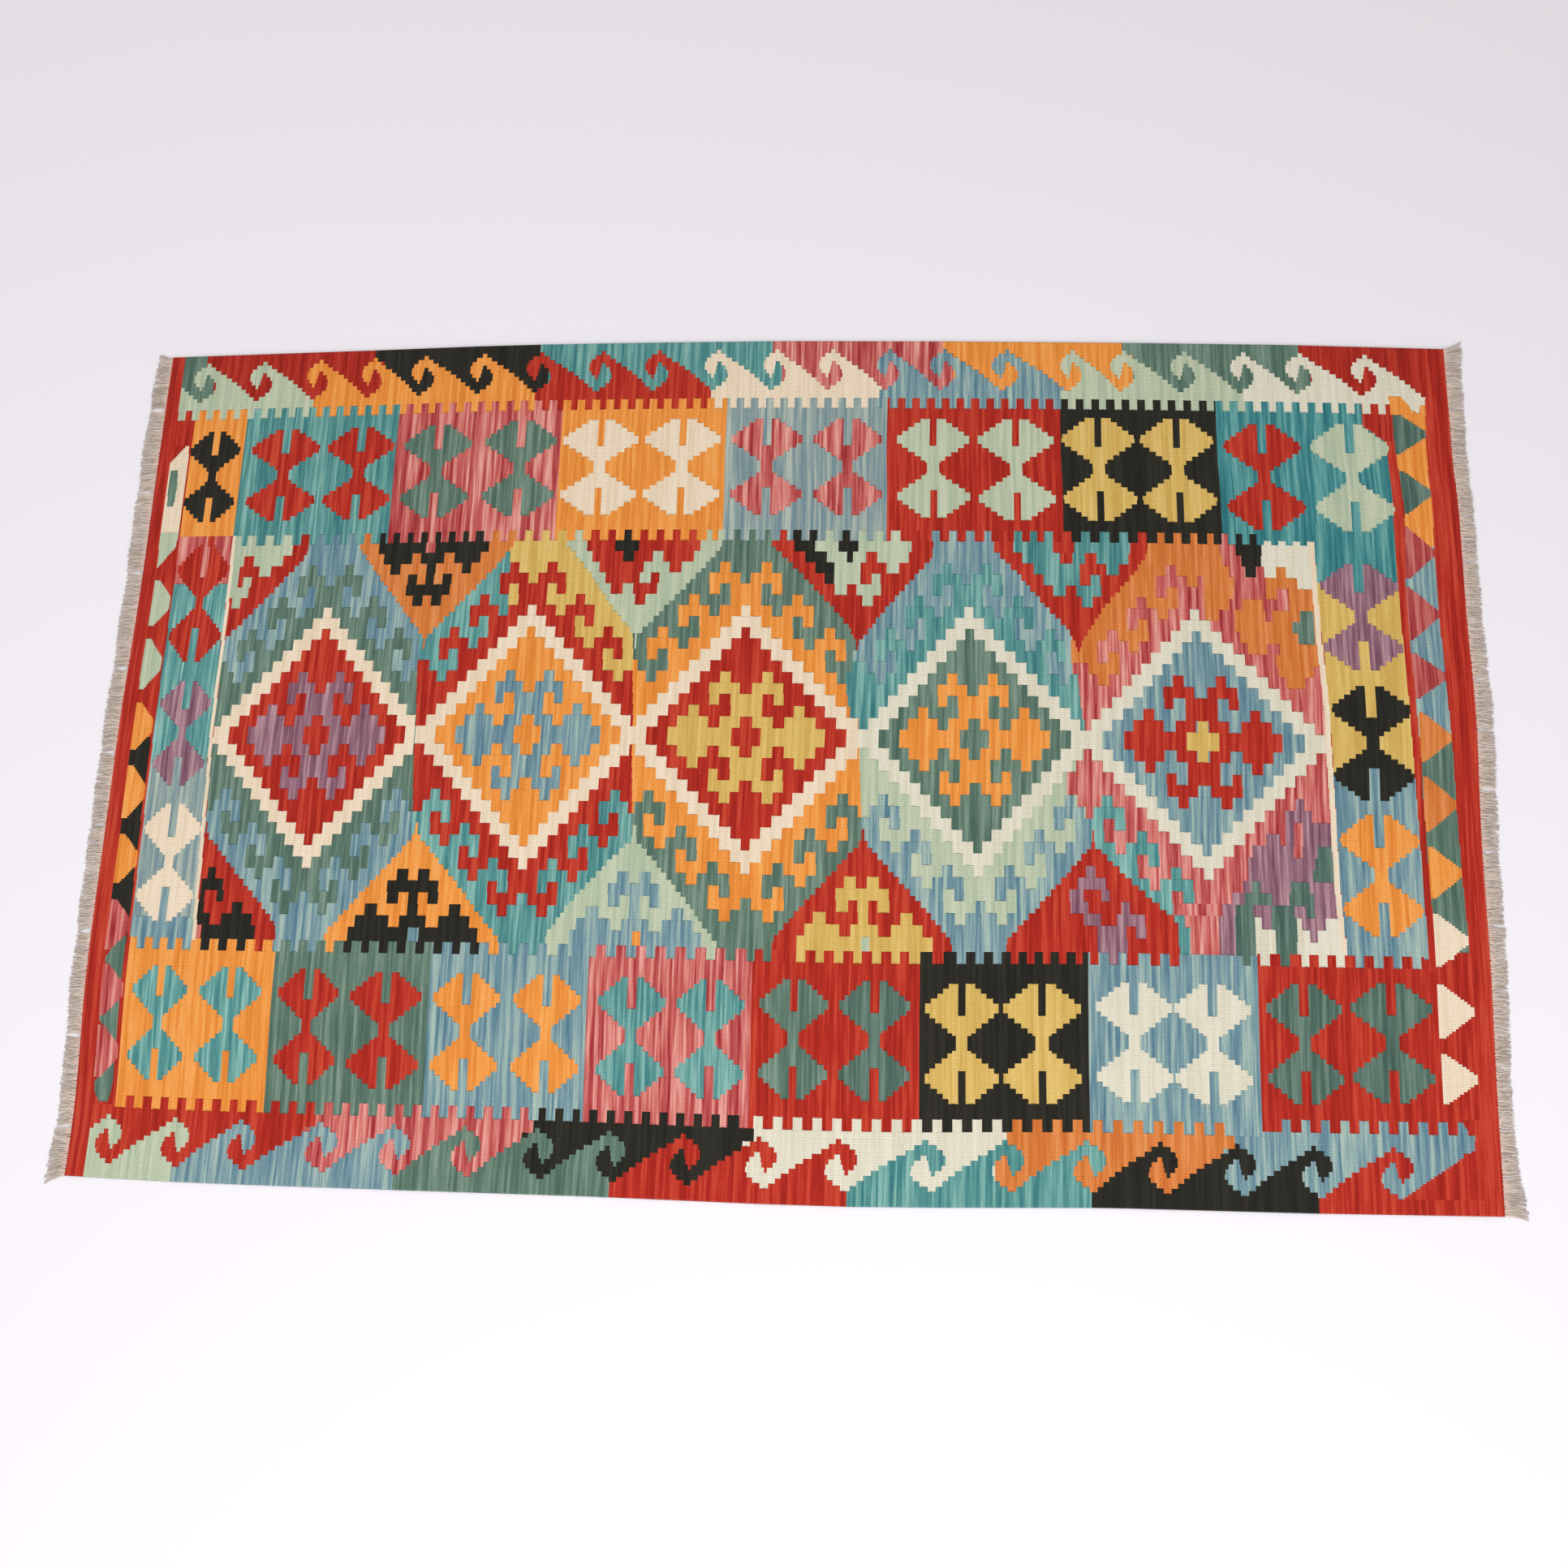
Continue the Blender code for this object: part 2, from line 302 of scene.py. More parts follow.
def weaveEyes(centre, firstWarp, warps, half, dye, lean, slotHalf):
    # a pair of eyes, each with a slot from its open end; lean is mm per warp up
    yarn = skein(dye)
    lastWarp = firstWarp + warps
    grounds = [yarnAt(warp, centre) for warp in (firstWarp - 1, lastWarp)]
    eyeWarps = (warps - eye["neck"]) / 2
    whole = int(eyeWarps)
    turns, widths = zip(*eye["outline"])

    def floats(warp, upTo, reach, thread):
        place = centre + lean * ((warp + upTo) / 2 - firstWarp - warps / 2)
        weaveIn(warp, upTo, place - reach, place + reach, thread)

    for step in range(0, whole, eye["stepWarps"]):
        upTo = min(step + eye["stepWarps"], whole)
        reach = half * numpy.interp((step + upTo) / 2 / eyeWarps, turns, widths)
        floats(firstWarp + step, firstWarp + upTo, reach, yarn)
        floats(lastWarp - upTo, lastWarp - step, reach, yarn)
    floats(firstWarp + whole, lastWarp - whole, half * eye["neckHalf"], yarn)
    slot = round(eyeWarps * eye["slot"])
    floats(firstWarp, firstWarp + slot, slotHalf, grounds[0])
    floats(lastWarp - slot, lastWarp, slotHalf, grounds[1])


# the boxes: left edge (mm), ground, then for each pair of eyes its centre, half width (mm) and dye
topBoxes = (
    (40, "orange", ((70, 31, "black"),)),
    (105, "teal", ((157, 42, "madder"), (249, 41, "madder"))),
    (292, "rose", ((343, 41, "seaGreen"), (443, 43, "seaGreen"))),
    (491, "orange", ((539, 45, "ivory"), (637, 45, "ivory"))),
    (688, "mist", ((737, 42, "rose"), (832, 40, "rose"))),
    (878, "madder", ((932, 42, "mint"), (1028, 44, "mint"))),
    (1080, "black", ((1123, 42, "gold"), (1213, 42, "gold"))),
    (1259, "deepTeal", ((1310, 44, "madder"), (1409, 44, "mint"))),
)
bottomBoxes = (
    (47, "orange", ((87, 31, "paleTeal"), (167, 35, "paleTeal"))),
    (214, "seaGreen", ((255, 34, "madder"), (342, 40, "madder"))),
    (390, "sky", ((432, 37, "orange"), (521, 37, "orange"))),
    (565, "rose", ((614, 37, "teal"), (700, 37, "teal"))),
    (744, "madder", ((790, 37, "seaGreen"), (877, 38, "deepSea"))),
    (925, "black", ((970, 39, "gold"), (1055, 41, "gold"))),
    (1104, "sky", ((1152, 40, "coolIvory"), (1234, 40, "coolIvory"))),
    (1282, "madder", ((1329, 39, "deepSea"), (1419, 42, "deepSea"))),
)
# the eyes' first warp and height change a little on the way: place (mm), first warp, warps; behind a
# comb the grounds go on from warp, to warp, as far as (mm), as they are on a warp
boxRows = (
    {"boxes": topBoxes, "end": 1451, "floor": 280, "ceiling": 343, "behindComb": (343, 348, 1425, 342),
     "eyes": ((0, 292, 45), (760, 292, 46), (932, 291, 47), (1028, 290, 48), (1215, 290, 49),
              (1310, 287, 50), (1409, 287, 50))},
    {"boxes": bottomBoxes, "end": 1461, "floor": 30, "ceiling": 101, "behindComb": (29, 35, 1461, 37),
     "eyes": ((0, 41, 48), (255, 41, 48), (342, 40, 48), (614, 40, 48), (790, 41, 48),
              (970, 40, 48), (1055, 40, 48), (1152, 41, 48), (1329, 42, 48), (1419, 43, 48))},
)


def weaveBoxes(row):
    boxes = row["boxes"]
    ends = [box[0] for box in boxes[1:]] + [row["end"]]
    places, firsts, heights = zip(*row["eyes"])
    for (left, ground, eyes), right in zip(boxes, ends):
        weaveIn(row["floor"], row["ceiling"], left, right, skein(ground))
        slotHalf = eye["groundSlots"].get(ground, eye["slotHalf"])
        for centre, half, dye in eyes:
            first = round(numpy.interp(centre, places, firsts))
            warps = round(numpy.interp(centre, places, heights))
            weaveEyes(centre, first, warps, half, dye, 0.0, slotHalf)


def carryGrounds(row):
    firstWarp, lastWarp, right, sourceWarp = row["behindComb"]
    for left, ground, eyes in row["boxes"]:
        weaveIn(firstWarp, lastWarp, left, right, yarnAt(sourceWarp, left + 4))


# the side borders: left line, right line, mm more at the right, then from warp, to warp, dye
sideFields = (
    ("boxesLeft", "fieldLeft", 0, ((262, 285, "rose"), (178, 262, "paleTeal"), (110, 178, "mist"),
                                   (101, 110, "sky"))),
    ("fieldRight", "boxesRight", 0, ((263, 290, "deepTeal"), (178, 263, "gold"), (101, 178, "sky"))),
    ("endBand", "boxesLeft", -3, ((330, 376, "madder"), (190, 330, "madder"), (98, 190, "black"),
                                  (0, 98, "madder"))),
    ("trianglesRight", "startBand", 0, ((281, 347, "orange"), (194, 281, "sky"),
                                        (104, 194, "seaGreen"), (0, 104, "madder"))),
)
# their eyes: centre (mm), first warp, warps, half width (mm), dye, lean, slot (mm)
sideEyes = (
    (74.5, 225, 56, 31, "madder", -0.02, 4.5), (76.5, 168, 48, 30, "purple", -0.02, 4.5),
    (80, 108, 52, 33, "ivory", -0.02, 4.5), (1408, 224, 48, 43, "purple", -0.02, 5.5),
    (1412, 167, 50, 43, "black", -0.02, 5.5), (1416, 110, 51, 42, "orange", -0.02, 5.5),
)
lastEyes = (1409, 287, 51, 44, "mint", 0.0, 5.0)
# their triangles stand on one line and point right to another: mm short of it, warps of a blunt tip,
# then middle warp, half height in warps, dye
sideTriangles = (
    ("endBand", "boxesLeft", 2, 2.8, (
        (253, 11, "mint"), (224, 12, "mint"), (195, 11, "orange"), (165, 12, "orange"),
        (135, 11, "orange"), (106, 11, "rose"), (78, 11, "rose"), (52, 11, "rose"))),
    ("trianglesRight", "startBand", 0, 1.4, (
        (334, 10, "deepSea"), (306, 10, "deepSea"), (278, 12, "deepRose"), (250, 12, "deepRose"),
        (222, 10, "deepRose"), (195, 11, "deepOrange"), (166, 12, "deepOrange"),
        (137, 11, "orange"), (109, 11, "ivory"), (80, 11, "ivory"), (53, 10, "ivory"))),
)
# odd shapes where the weaver ran out of room: dye, then corners as warp, left, right (mm)
shapes = {
    "leftColumn": (
        ("ivory", ((330, 33, 37), (321, 15, 38), (287, 15, 38))),
        ("seaGreen", ((318, 18, 27), (310, 18, 29), (300, 19, 27))),
        ("mint", ((287, 15, 38), (280, 15, 37), (270, 16, 18))),
        ("seaGreen", ((105, 41, 42), (91, 20, 42), (77, 41, 42))),
        ("seaGreen", ((79, 41, 42), (66, 20, 42), (52, 41, 42))),
        ("seaGreen", ((49, 40, 42), (39, 21, 42), (34, 23, 40), (31, 28, 38)))),
    "rightColumn": (
        ("madder", ((347, 1425, 1457), (337, 1425, 1457), (330, 1449, 1457))),),
    "topRight": (
        ("orange", ((352, 1456, 1470), (348, 1457, 1478), (345, 1457, 1482), (343, 1457, 1497))),
        ("orange", ((348, 1491, 1497), (343, 1490, 1497)))),
    "bottomRight": (
        ("madder", ((37, 1484, 1524), (33, 1491, 1524), (31, 1498, 1524), (26, 1499, 1524),
                    (6, 1421, 1524))),),
    # the rose of the last diamond runs on down to the boxes
    "belowField": (
        ("rose", ((122, 1201, 1242), (117, 1201, 1242))),
        ("rose", ((117, 1213, 1243), (102, 1212, 1243)))),
}


def weaveShapes(name):
    for dye, corners in shapes[name]:
        yarn = skein(dye)
        for (high, highLeft, highRight), (low, lowLeft, lowRight) in itertools.pairwise(corners):
            for warp in range(low, high):
                share = (high - warp - 0.5) / (high - low)
                weaveIn(warp, warp + 1, highLeft + (lowLeft - highLeft) * share,
                        highRight + (lowRight - highRight) * share, yarn)


def weaveTriangles(baseLine, tipLine, tipShort, blunt, triangles):
    for middle, half, dye in triangles:
        yarn = skein(dye)
        base = sideLine(baseLine, middle)
        reach = sideLine(tipLine, middle) - base - tipShort
        for warp in range(-half, half):
            share = min(1 - (abs(warp + 0.5) - blunt) / half, 1.0)
            weaveIn(middle + warp, middle + warp + 1, base, base + reach * share, yarn)


def weaveSides():
    for leftLine, rightLine, more, fields in sideFields:
        for low, high, dye in fields:
            fillBetween(low, high, leftLine, rightLine, dye, 0, more)
    for pair in sideEyes:
        weaveEyes(*pair)
    weaveShapes("leftColumn")
    for column in sideTriangles:
        weaveTriangles(*column)
    fillBetween(*stripes["besideBoxes"])
    weaveShapes("rightColumn")
    weaveEyes(*lastEyes)


# the field: five diamonds in a row, each in a ring of hooks
field = {
    "rowWarps": 5,
    "middle": (187, 195),    # warps of the middle row, which is the widest
    "rows": 17,              # rows above and below it
    "spareWarp": 101,        # between the last row and the boxes; it repeats the warp above it
    "junctions": (348.5, 597.5, 852.5, 1102.0),    # mm, between one diamond and the next
    "junctionLean": -0.85,   # mm a row
    "ends": (4, -5),         # mm between the side lines and the first and last ring
    # where the weaver let one ring run over into the next: junction, row, mm
    "overrun": {(3, 1): 851, (3, 2): 841, (3, 3): 838, (3, 4): 836, (3, 5): 835, (3, 6): 842,
                (3, 7): 842, (4, 1): 1101, (4, 2): 1098, (4, 3): 1096, (4, 4): 1095, (4, 5): 1094,
                (4, 6): 1088, (4, 7): 1087, (4, 8): 1087, (4, 9): 1088, (4, -1): 1100,
                (4, -2): 1092, (4, -3): 1082, (4, -4): 1082, (4, -5): 1094, (4, -6): 1103,
                (4, -7): 1108},
    "tip": 5.0,              # mm, half of a diamond's narrowest row
    "bandRows": 2,           # thickness of the ivory band
    "leastBand": 12,         # mm, half of it where the corners meet it
    "innerRows": 9,          # rows from the widest to the tip
}

# one quarter of the ring of hooks: row, from column, to column (columns from the middle)
hooks = (
    (15, 1.5, 2.5), (14, 0.5, 3.5), (13, 2.5, 3.5), (13, 0, 1.5), (12, 4.5, 5.5), (12, 0, 1.5),
    (11, 3.5, 6.5), (11, 0, 2.5), (10, 5.5, 6.5), (10, 0.5, 4.5), (9, 7.5, 8.5), (9, 1.5, 4.5),
    (8, 6.5, 9.5), (8, 2.5, 5.5), (7, 8.5, 9.5), (7, 3.5, 7.5), (6, 4.5, 7.5), (6, 10.4, 13),
    (5, 5.5, 8.6), (5, 9.6, 13), (4, 6.5, 13), (3, 7.5, 13), (2, 8.5, 13), (1, 9.5, 13),
)
# one quarter of the figure inside a diamond
figure = ((0, 1.4, 7.4), (1, 0.6, 2.5), (1, 3.6, 6.5), (2, 0, 1.5), (2, 4.5, 5.5), (3, 0, 1.5),
          (3, 2.6, 3.5), (4, 0.6, 3.5), (5, 1.5, 2.5))

# middle of the row (mm), widest half (mm), lean (mm a row), then the dyes: "ring" has the upper and the
# lower one, "outer" the upper left, upper right, lower left and lower right
diamonds = (
    {"centre": 234.3, "half": 102.5, "lean": -0.40, "field": "madder", "figure": "purple",
     "heart": "madder", "band": "ivory", "ring": ("seaGreen", "seaGreen"),
     "outer": ("sky", "sky", "sky", "sky"), "seam": 0},
    {"centre": 477.6, "half": 105.9, "lean": -0.60, "field": "orange", "figure": "sky",
     "heart": "orange", "band": "ivory", "ring": ("madder", "madder"),
     "outer": ("paleTeal", "gold", "paleTeal", "teal"), "seam": -28},
    {"centre": 725.7, "half": 112.5, "lean": -0.60, "field": "madder", "figure": "gold",
     "heart": "madder", "band": "ivory", "ring": ("orange", "orange"),
     "outer": ("seaGreen", "seaGreen", "seaGreen", "seaGreen"), "seam": 0},
    {"centre": 980.0, "half": 105.9, "lean": -0.66, "field": "seaGreen", "figure": "orange",
     "heart": "seaGreen", "band": "coolIvory", "ring": ("teal", "mint"),
     "outer": ("sky", "sky", "sky", "sky"), "seam": 0},
    {"centre": 1229.5, "half": 109.3, "lean": -0.42, "field": "sky", "figure": "madder",
     "heart": "gold", "band": "coolIvory", "ring": ("rose", "rose"),
     "outer": ("deepOrange", "deepOrange", "paleTeal", "purple"), "seam": 0},
)


def fieldRow(row):
    # the first and last warp of a row of the field; rows count up and down from the middle
    low, high = field["middle"]
    if row == 0:
        return low, high
    if row > 0:
        return high + (row - 1) * field["rowWarps"], high + row * field["rowWarps"]
    return low + row * field["rowWarps"], low + (row + 1) * field["rowWarps"]


def weaveRow(row, left, right, yarn):
    weaveIn(*fieldRow(row), left, right, yarn)


def junction(number, row):
    # where the ring of one diamond meets the next; the first and last are the side lines
    if number in (0, len(diamonds)):
        name, more = ("fieldRight", field["ends"][1]) if number else ("fieldLeft", field["ends"][0])
        return sideLine(name, fieldRow(row)[0]) + more
    straight = field["junctions"][number - 1] + field["junctionLean"] * row
    return field["overrun"].get((number, row), straight)


def columnWidth(diamond):
    return (diamond["half"] - field["tip"]) / field["innerRows"]


def middleOf(diamond, row):
    return diamond["centre"] + diamond["lean"] * row


def weaveQuarters(diamond, chart, yarns, reach):
    # mirrors a quarter chart to both sides, above and below, between the places that reach gives
    column = columnWidth(diamond)
    for chartRow, start, end in chart:
        for row in sorted({chartRow, -chartRow}, reverse=True):
            middle, yarn = middleOf(diamond, row), yarns[0 if row >= 0 else 1]
            left, right = reach(row)
            weaveRow(row, max(middle - end * column, left), middle - start * column, yarn)
            weaveRow(row, middle + start * column, min(middle + end * column, right), yarn)


def weaveDiamond(number, diamond):
    column, tip, innerRows = columnWidth(diamond), field["tip"], field["innerRows"]

    def reach(row):
        return junction(number, row), junction(number + 1, row)

    outer = [skein(dye) for dye in diamond["outer"]]
    for row in range(-field["rows"], field["rows"] + 1):
        left, right = reach(row)
        seam = middleOf(diamond, row) + diamond["seam"]
        yarns = outer[:2] if row >= 0 else outer[2:]
        weaveRow(row, left, seam, yarns[0])
        weaveRow(row, seam, right, yarns[1])
    weaveQuarters(diamond, hooks, [skein(dye) for dye in diamond["ring"]], reach)

    band, ground = skein(diamond["band"]), skein(diamond["field"])
    outerRows = innerRows + field["bandRows"]
    for row in range(-outerRows, outerRows + 1):
        left, right = reach(row)
        middle = middleOf(diamond, row)
        outerHalf = tip + column * (outerRows - abs(row))
        innerHalf = tip + column * (innerRows - abs(row))
        weaveRow(row, max(middle - outerHalf, left), min(middle + outerHalf, right), band)
        if abs(row) <= innerRows:
            weaveRow(row, middle - innerHalf, middle + innerHalf, ground)
    weaveQuarters(diamond, figure, [skein(diamond["figure"])] * 2, lambda row: (0, cloth["length"]))
    # the heart is a small cross
    heart = skein(diamond["heart"])
    if diamond["heart"] != diamond["field"]:
        low, high = fieldRow(0)
        middle = middleOf(diamond, 0)
        for arm, halfColumns in ((0, 1.5), (field["rowWarps"], 0.5)):
            weaveIn(low - arm, high + arm, middle - halfColumns * column,
                    middle + halfColumns * column, heart)


# charts for the triangles between the diamonds, from the base to the tip: row counted from the middle of
# the field, from column, to column; first a tree
tree = ((17, -6.3, 6.3), (16, -5.6, -2.3), (16, -1.3, 1.3), (16, 2.5, 5.5), (15, -4.7, -3.5),
        (15, -0.5, 0.5), (15, 3.5, 4.6), (14, -2.5, -1.4), (14, -0.5, 0.5), (14, 1.4, 2.5),
        (13, -2.5, 2.5), (12, -1.6, -0.5), (12, 0.5, 1.6))
# a half triangle with a hook to its right
lopsided = ((17, -5.7, 5.7), (16, -4.9, 1.2), (16, 2.3, 5.4), (15, -3.9, 0.6), (15, 3.2, 4.4),
            (14, -3, 0.5), (14, 1.6, 2.5), (13, -2.1, -0.9), (13, 0.1, 2.5), (12, 0.6, 1.6))
# the half figures at the left end
halfLopsided = ((17, 0.2, 6.4), (16, 0.2, 1.4), (16, 2.5, 5.5), (15, 0.2, 1), (15, 3.1, 4.3),
                (14, 0.1, 0.9), (14, 1.5, 2.3), (13, 0, 2.1), (12, 0.4, 1.3))
halfTree = ((17, 0.5, 5.8), (16, 0, 1.3), (16, 2.4, 5.4), (15, 0.1, 0.7), (15, 3.4, 4.5),
            (14, 0.2, 0.7), (14, 1.9, 2.6), (13, 0.3, 2.5), (12, 0.9, 1.7))
# the forked branch of the last lower triangle
branch = ((11, -0.2, 0.6), (12, -1.1, 1.5), (13, -1.9, -0.6), (13, 1, 1.8), (14, -1.9, -0.3),
          (14, 2.7, 3.5), (15, -0.8, 0.8), (15, 2.2, 4.8), (16, 0.3, 3), (16, 3.9, 4.8),
          (17, 0.3, 3))

# what the triangles have unless they say otherwise: a column of the chart (mm), how far the figure stays
# inside the edges (mm), and its lean (mm a row)
usual = {"column": 11.6, "margin": 4, "lean": -0.9, "tipRow": 8}
# one triangle for each junction, above and below: its two edges from the base to the tip (warp, mm),
# ground, figure, where the figure's middle is at the base (mm), and small patches of other dyes
upperTriangles = (
    {"left": ((285, 108), (235, 109)),
     "right": ((285, 199), (275, 197), (260, 166), (240, 122), (235, 110)),
     "ground": "madder", "figure": "mint", "chart": halfLopsided, "middle": 104.4, "margin": 0},
    {"left": ((285, 260), (278, 260), (266, 283), (235, 347)),
     "right": ((285, 445), (278, 443), (266, 420), (250, 383), (235, 349)),
     "ground": "deepOrange", "figure": "black", "chart": tree, "middle": 348.5, "lean": 0.5,
     "column": 10.4, "patches": ((17, -0.9, 0.1, "rose"),)},
    {"left": ((285, 505), (279, 505), (266, 533), (250, 562), (236, 593)),
     "right": ((285, 688), (277, 688), (266, 665), (250, 628), (236, 595)),
     "ground": "mint", "figure": "madder", "chart": lopsided, "middle": 596.5, "lean": 2.7,
     "patches": ((17, -2.9, -0.5, "black"), (16, -1.8, -0.7, "black"))},
    {"left": ((285, 746), (278, 746), (266, 778), (250, 817), (240, 839), (233, 846)),
     "right": ((285, 932), (272, 931), (266, 916), (250, 881), (233, 848)),
     "ground": "madder", "figure": "mint", "chart": lopsided, "middle": 840.5,
     "patches": ((17, -5.9, -3.8, "black"), (16, -4.9, -2.7, "black"), (15, -3.9, -2, "black"),
                 (14, -3, -2.1, "black"), (17, -1.5, 0.5, "black"), (16, -0.7, -0.1, "black"))},
    {"left": ((285, 1000), (276, 1001), (266, 1027), (250, 1060), (240, 1084), (232, 1094)),
     "right": ((285, 1178), (275, 1174), (266, 1159), (250, 1124), (240, 1108), (232, 1097)),
     "ground": "madder", "figure": "teal", "chart": lopsided, "middle": 1089,
     "patches": ((17, -1.8, 0.3, "madder"), (16, -1.2, 0, "madder"))},
)
lowerTriangles = (
    {"left": ((96, 120), (147, 118)),
     "right": ((96, 214), (107, 211), (115, 194), (125, 170), (135, 147), (147, 120)),
     "ground": "madder", "figure": "black", "chart": halfTree, "middle": 121, "margin": 0,
     "patches": ((17, -0.4, 0.4, "rose"),)},
    {"left": ((96, 267), (104, 267), (119, 299), (138, 341), (147, 359)),
     "right": ((96, 464), (103, 462), (110, 445), (129, 405), (147, 362)),
     "ground": "orange", "figure": "black", "chart": tree, "middle": 366,
     "patches": ((17, -0.4, 0.6, "sky"),)},
    {"left": ((96, 513), (105, 515), (119, 541), (138, 584), (146, 605)),
     "right": ((96, 710), (101, 709), (110, 688), (119, 671), (138, 628), (146, 609)),
     "ground": "mint", "figure": "sky", "chart": tree, "middle": 614,
     "patches": ((17, -0.3, 0.5, "orange"),)},
    {"left": ((96, 762), (105, 765), (119, 794), (129, 818), (147, 859)),
     "right": ((96, 961), (105, 958), (119, 929), (138, 883), (147, 862)),
     "ground": "madder", "figure": "gold", "chart": tree, "middle": 864.5,
     "patches": ((17, -0.3, 0.5, "mint"),)},
    {"left": ((96, 1016), (106, 1018), (119, 1050), (138, 1093), (146, 1110)),
     "right": ((96, 1201), (114, 1200), (120, 1182), (130, 1153), (140, 1127), (146, 1112)),
     "ground": "madder", "figure": "purple", "chart": branch, "middle": 1111},
)


def weaveFieldTriangle(triangle, sign):
    def edge(side, warp):
        warps, places = zip(*sorted(triangle[side]))
        return float(numpy.interp(warp, warps, places))

    ground = skein(triangle["ground"])
    for row in range(usual["tipRow"], field["rows"] + 1):
        low, high = fieldRow(sign * row)
        half = (low + high) // 2
        for first, last in ((low, half), (half, high)):
            middle = (first + last) / 2
            weaveIn(first, last, edge("left", middle), edge("right", middle), ground)
    column, margin = [triangle.get(key, usual[key]) for key in ("column", "margin")]
    lean = triangle.get("lean", usual["lean"] * sign)
    thread = skein(triangle["figure"])
    for row, start, end, *dye in triangle["chart"] + triangle.get("patches", ()):
        low, high = fieldRow(sign * row)
        middle = triangle["middle"] + (row - field["rows"]) * lean
        left, right = [edge(side, (low + high) / 2) for side in ("left", "right")]
        weaveIn(low, high, max(middle + start * column, left + margin),
                min(middle + end * column, right - margin), skein(dye[0]) if dye else thread)


# the two right corners of the field, where the last figures ran out of room: row, then each dye and
# where it ends (mm)
upperCorner = (
    (17, (("deepOrange", 1255), ("rose", 1273), ("black", 1302), ("coolIvory", 1356))),
    (16, (("deepOrange", 1258), ("rose", 1279), ("black", 1301), ("coolIvory", 1357))),
    (15, (("deepOrange", 1265), ("rose", 1283), ("black", 1295), ("rose", 1304), ("coolIvory", 1317),
          ("deepOrange", 1328), ("coolIvory", 1357))),
    (14, (("deepOrange", 1270), ("rose", 1305), ("deepOrange", 1340), ("coolIvory", 1357))),
    (13, (("deepOrange", 1269), ("rose", 1305), ("deepOrange", 1317), ("rose", 1330), ("deepOrange", 1354))),
    (12, (("deepOrange", 1264), ("rose", 1278), ("deepOrange", 1301), ("rose", 1330), ("deepOrange", 1354))),
    (11, (("deepOrange", 1252), ("rose", 1269), ("deepOrange", 1303), ("rose", 1311), ("deepOrange", 1341),
          ("seaGreen", 1356))),
    (10, (("rose", 1269), ("deepOrange", 1332), ("seaGreen", 1356))),
    (9, (("rose", 1274), ("deepOrange", 1338), ("seaGreen", 1356))),
    (8, (("rose", 1282), ("deepOrange", 1303), ("rose", 1317), ("deepOrange", 1356))),
    (7, (("rose", 1312), ("deepOrange", 1356))),
    (6, (("rose", 1314), ("deepOrange", 1352), ("rose", 1360))),
    (5, (("rose", 1322), ("deepOrange", 1342), ("rose", 1360))),
    *((row, (("rose", 1362),)) for row in (4, 3, 2, 1)),
)
lowerCorner = (
    *((row, (("rose", 1362),)) for row in (-1, -2, -3)),
    (-4, (("rose", 1363),)),
    (-5, (("rose", 1328), ("purple", 1337), ("rose", 1364))),
    (-6, (("rose", 1317), ("purple", 1345), ("rose", 1364))),
    (-7, (("rose", 1317), ("purple", 1326), ("rose", 1335), ("purple", 1364))),
    (-8, (("rose", 1296), ("purple", 1311), ("rose", 1317), ("purple", 1326), ("rose", 1335),
          ("purple", 1365))),
    (-9, (("rose", 1281), ("purple", 1325), ("rose", 1334), ("purple", 1350), ("deepSea", 1365))),
    (-10, (("rose", 1276), ("purple", 1347), ("deepSea", 1366))),
    (-11, (("rose", 1276), ("purple", 1344), ("deepSea", 1366))),
    (-12, (("rose", 1270), ("purple", 1279), ("deepSea", 1288), ("purple", 1320), ("deepSea", 1340),
           ("purple", 1366))),
    (-13, (("rose", 1258), ("purple", 1271), ("deepSea", 1300), ("purple", 1318), ("deepSea", 1344),
           ("purple", 1367))),
    (-14, (("purple", 1261), ("deepSea", 1280), ("purple", 1299), ("deepSea", 1323), ("purple", 1335),
           ("deepSea", 1344), ("purple", 1366))),
    (-15, (("purple", 1260), ("deepSea", 1281), ("coolIvory", 1288), ("purple", 1298), ("deepSea", 1325),
           ("coolIvory", 1330), ("purple", 1355), ("coolIvory", 1370))),
    (-16, (("purple", 1260), ("deepSea", 1281), ("coolIvory", 1302), ("deepSea", 1325), ("coolIvory", 1338),
           ("purple", 1346), ("coolIvory", 1370))),
    (-17, (("purple", 1260), ("deepSea", 1281), ("coolIvory", 1302), ("deepSea", 1324), ("coolIvory", 1370))),
)


def weaveCorner(chart):
    last = diamonds[-1]
    yarns = {dye: skein(dye) for row, runs in chart for dye, right in runs}
    for row, runs in chart:
        outside = columnWidth(last) * (field["innerRows"] + field["bandRows"] - abs(row))
        left = middleOf(last, row) + max(field["tip"] + outside, field["leastBand"])
        for dye, right in runs:
            weaveRow(row, left, right, yarns[dye])
            left = max(left, right)


def weaveField():
    for number, diamond in enumerate(diamonds):
        weaveDiamond(number, diamond)
    for upper, lower in zip(upperTriangles, lowerTriangles):
        weaveFieldTriangle(upper, 1)
        weaveFieldTriangle(lower, -1)
    weaveCorner(upperCorner)
    weaveCorner(lowerCorner)
    weaveShapes("belowField")


# plain stretches behind the combs: from warp, to warp, from, to (mm), then a dye, or the warp and the
# place (mm) that it carries on from; the last box of the lower row starts two warps higher than the rest
stretches = {
    "underWaves": (343, 348, 0, 1457, "madder"),
    "underLastBox": (29, 31, 1282, 1498, (28, 1300)),
    "overLastBox": (97, 102, 1282, 1455, "madder"),
    "underTopBox": (282, 285, 1301, 1362, (287, 1340)),
}


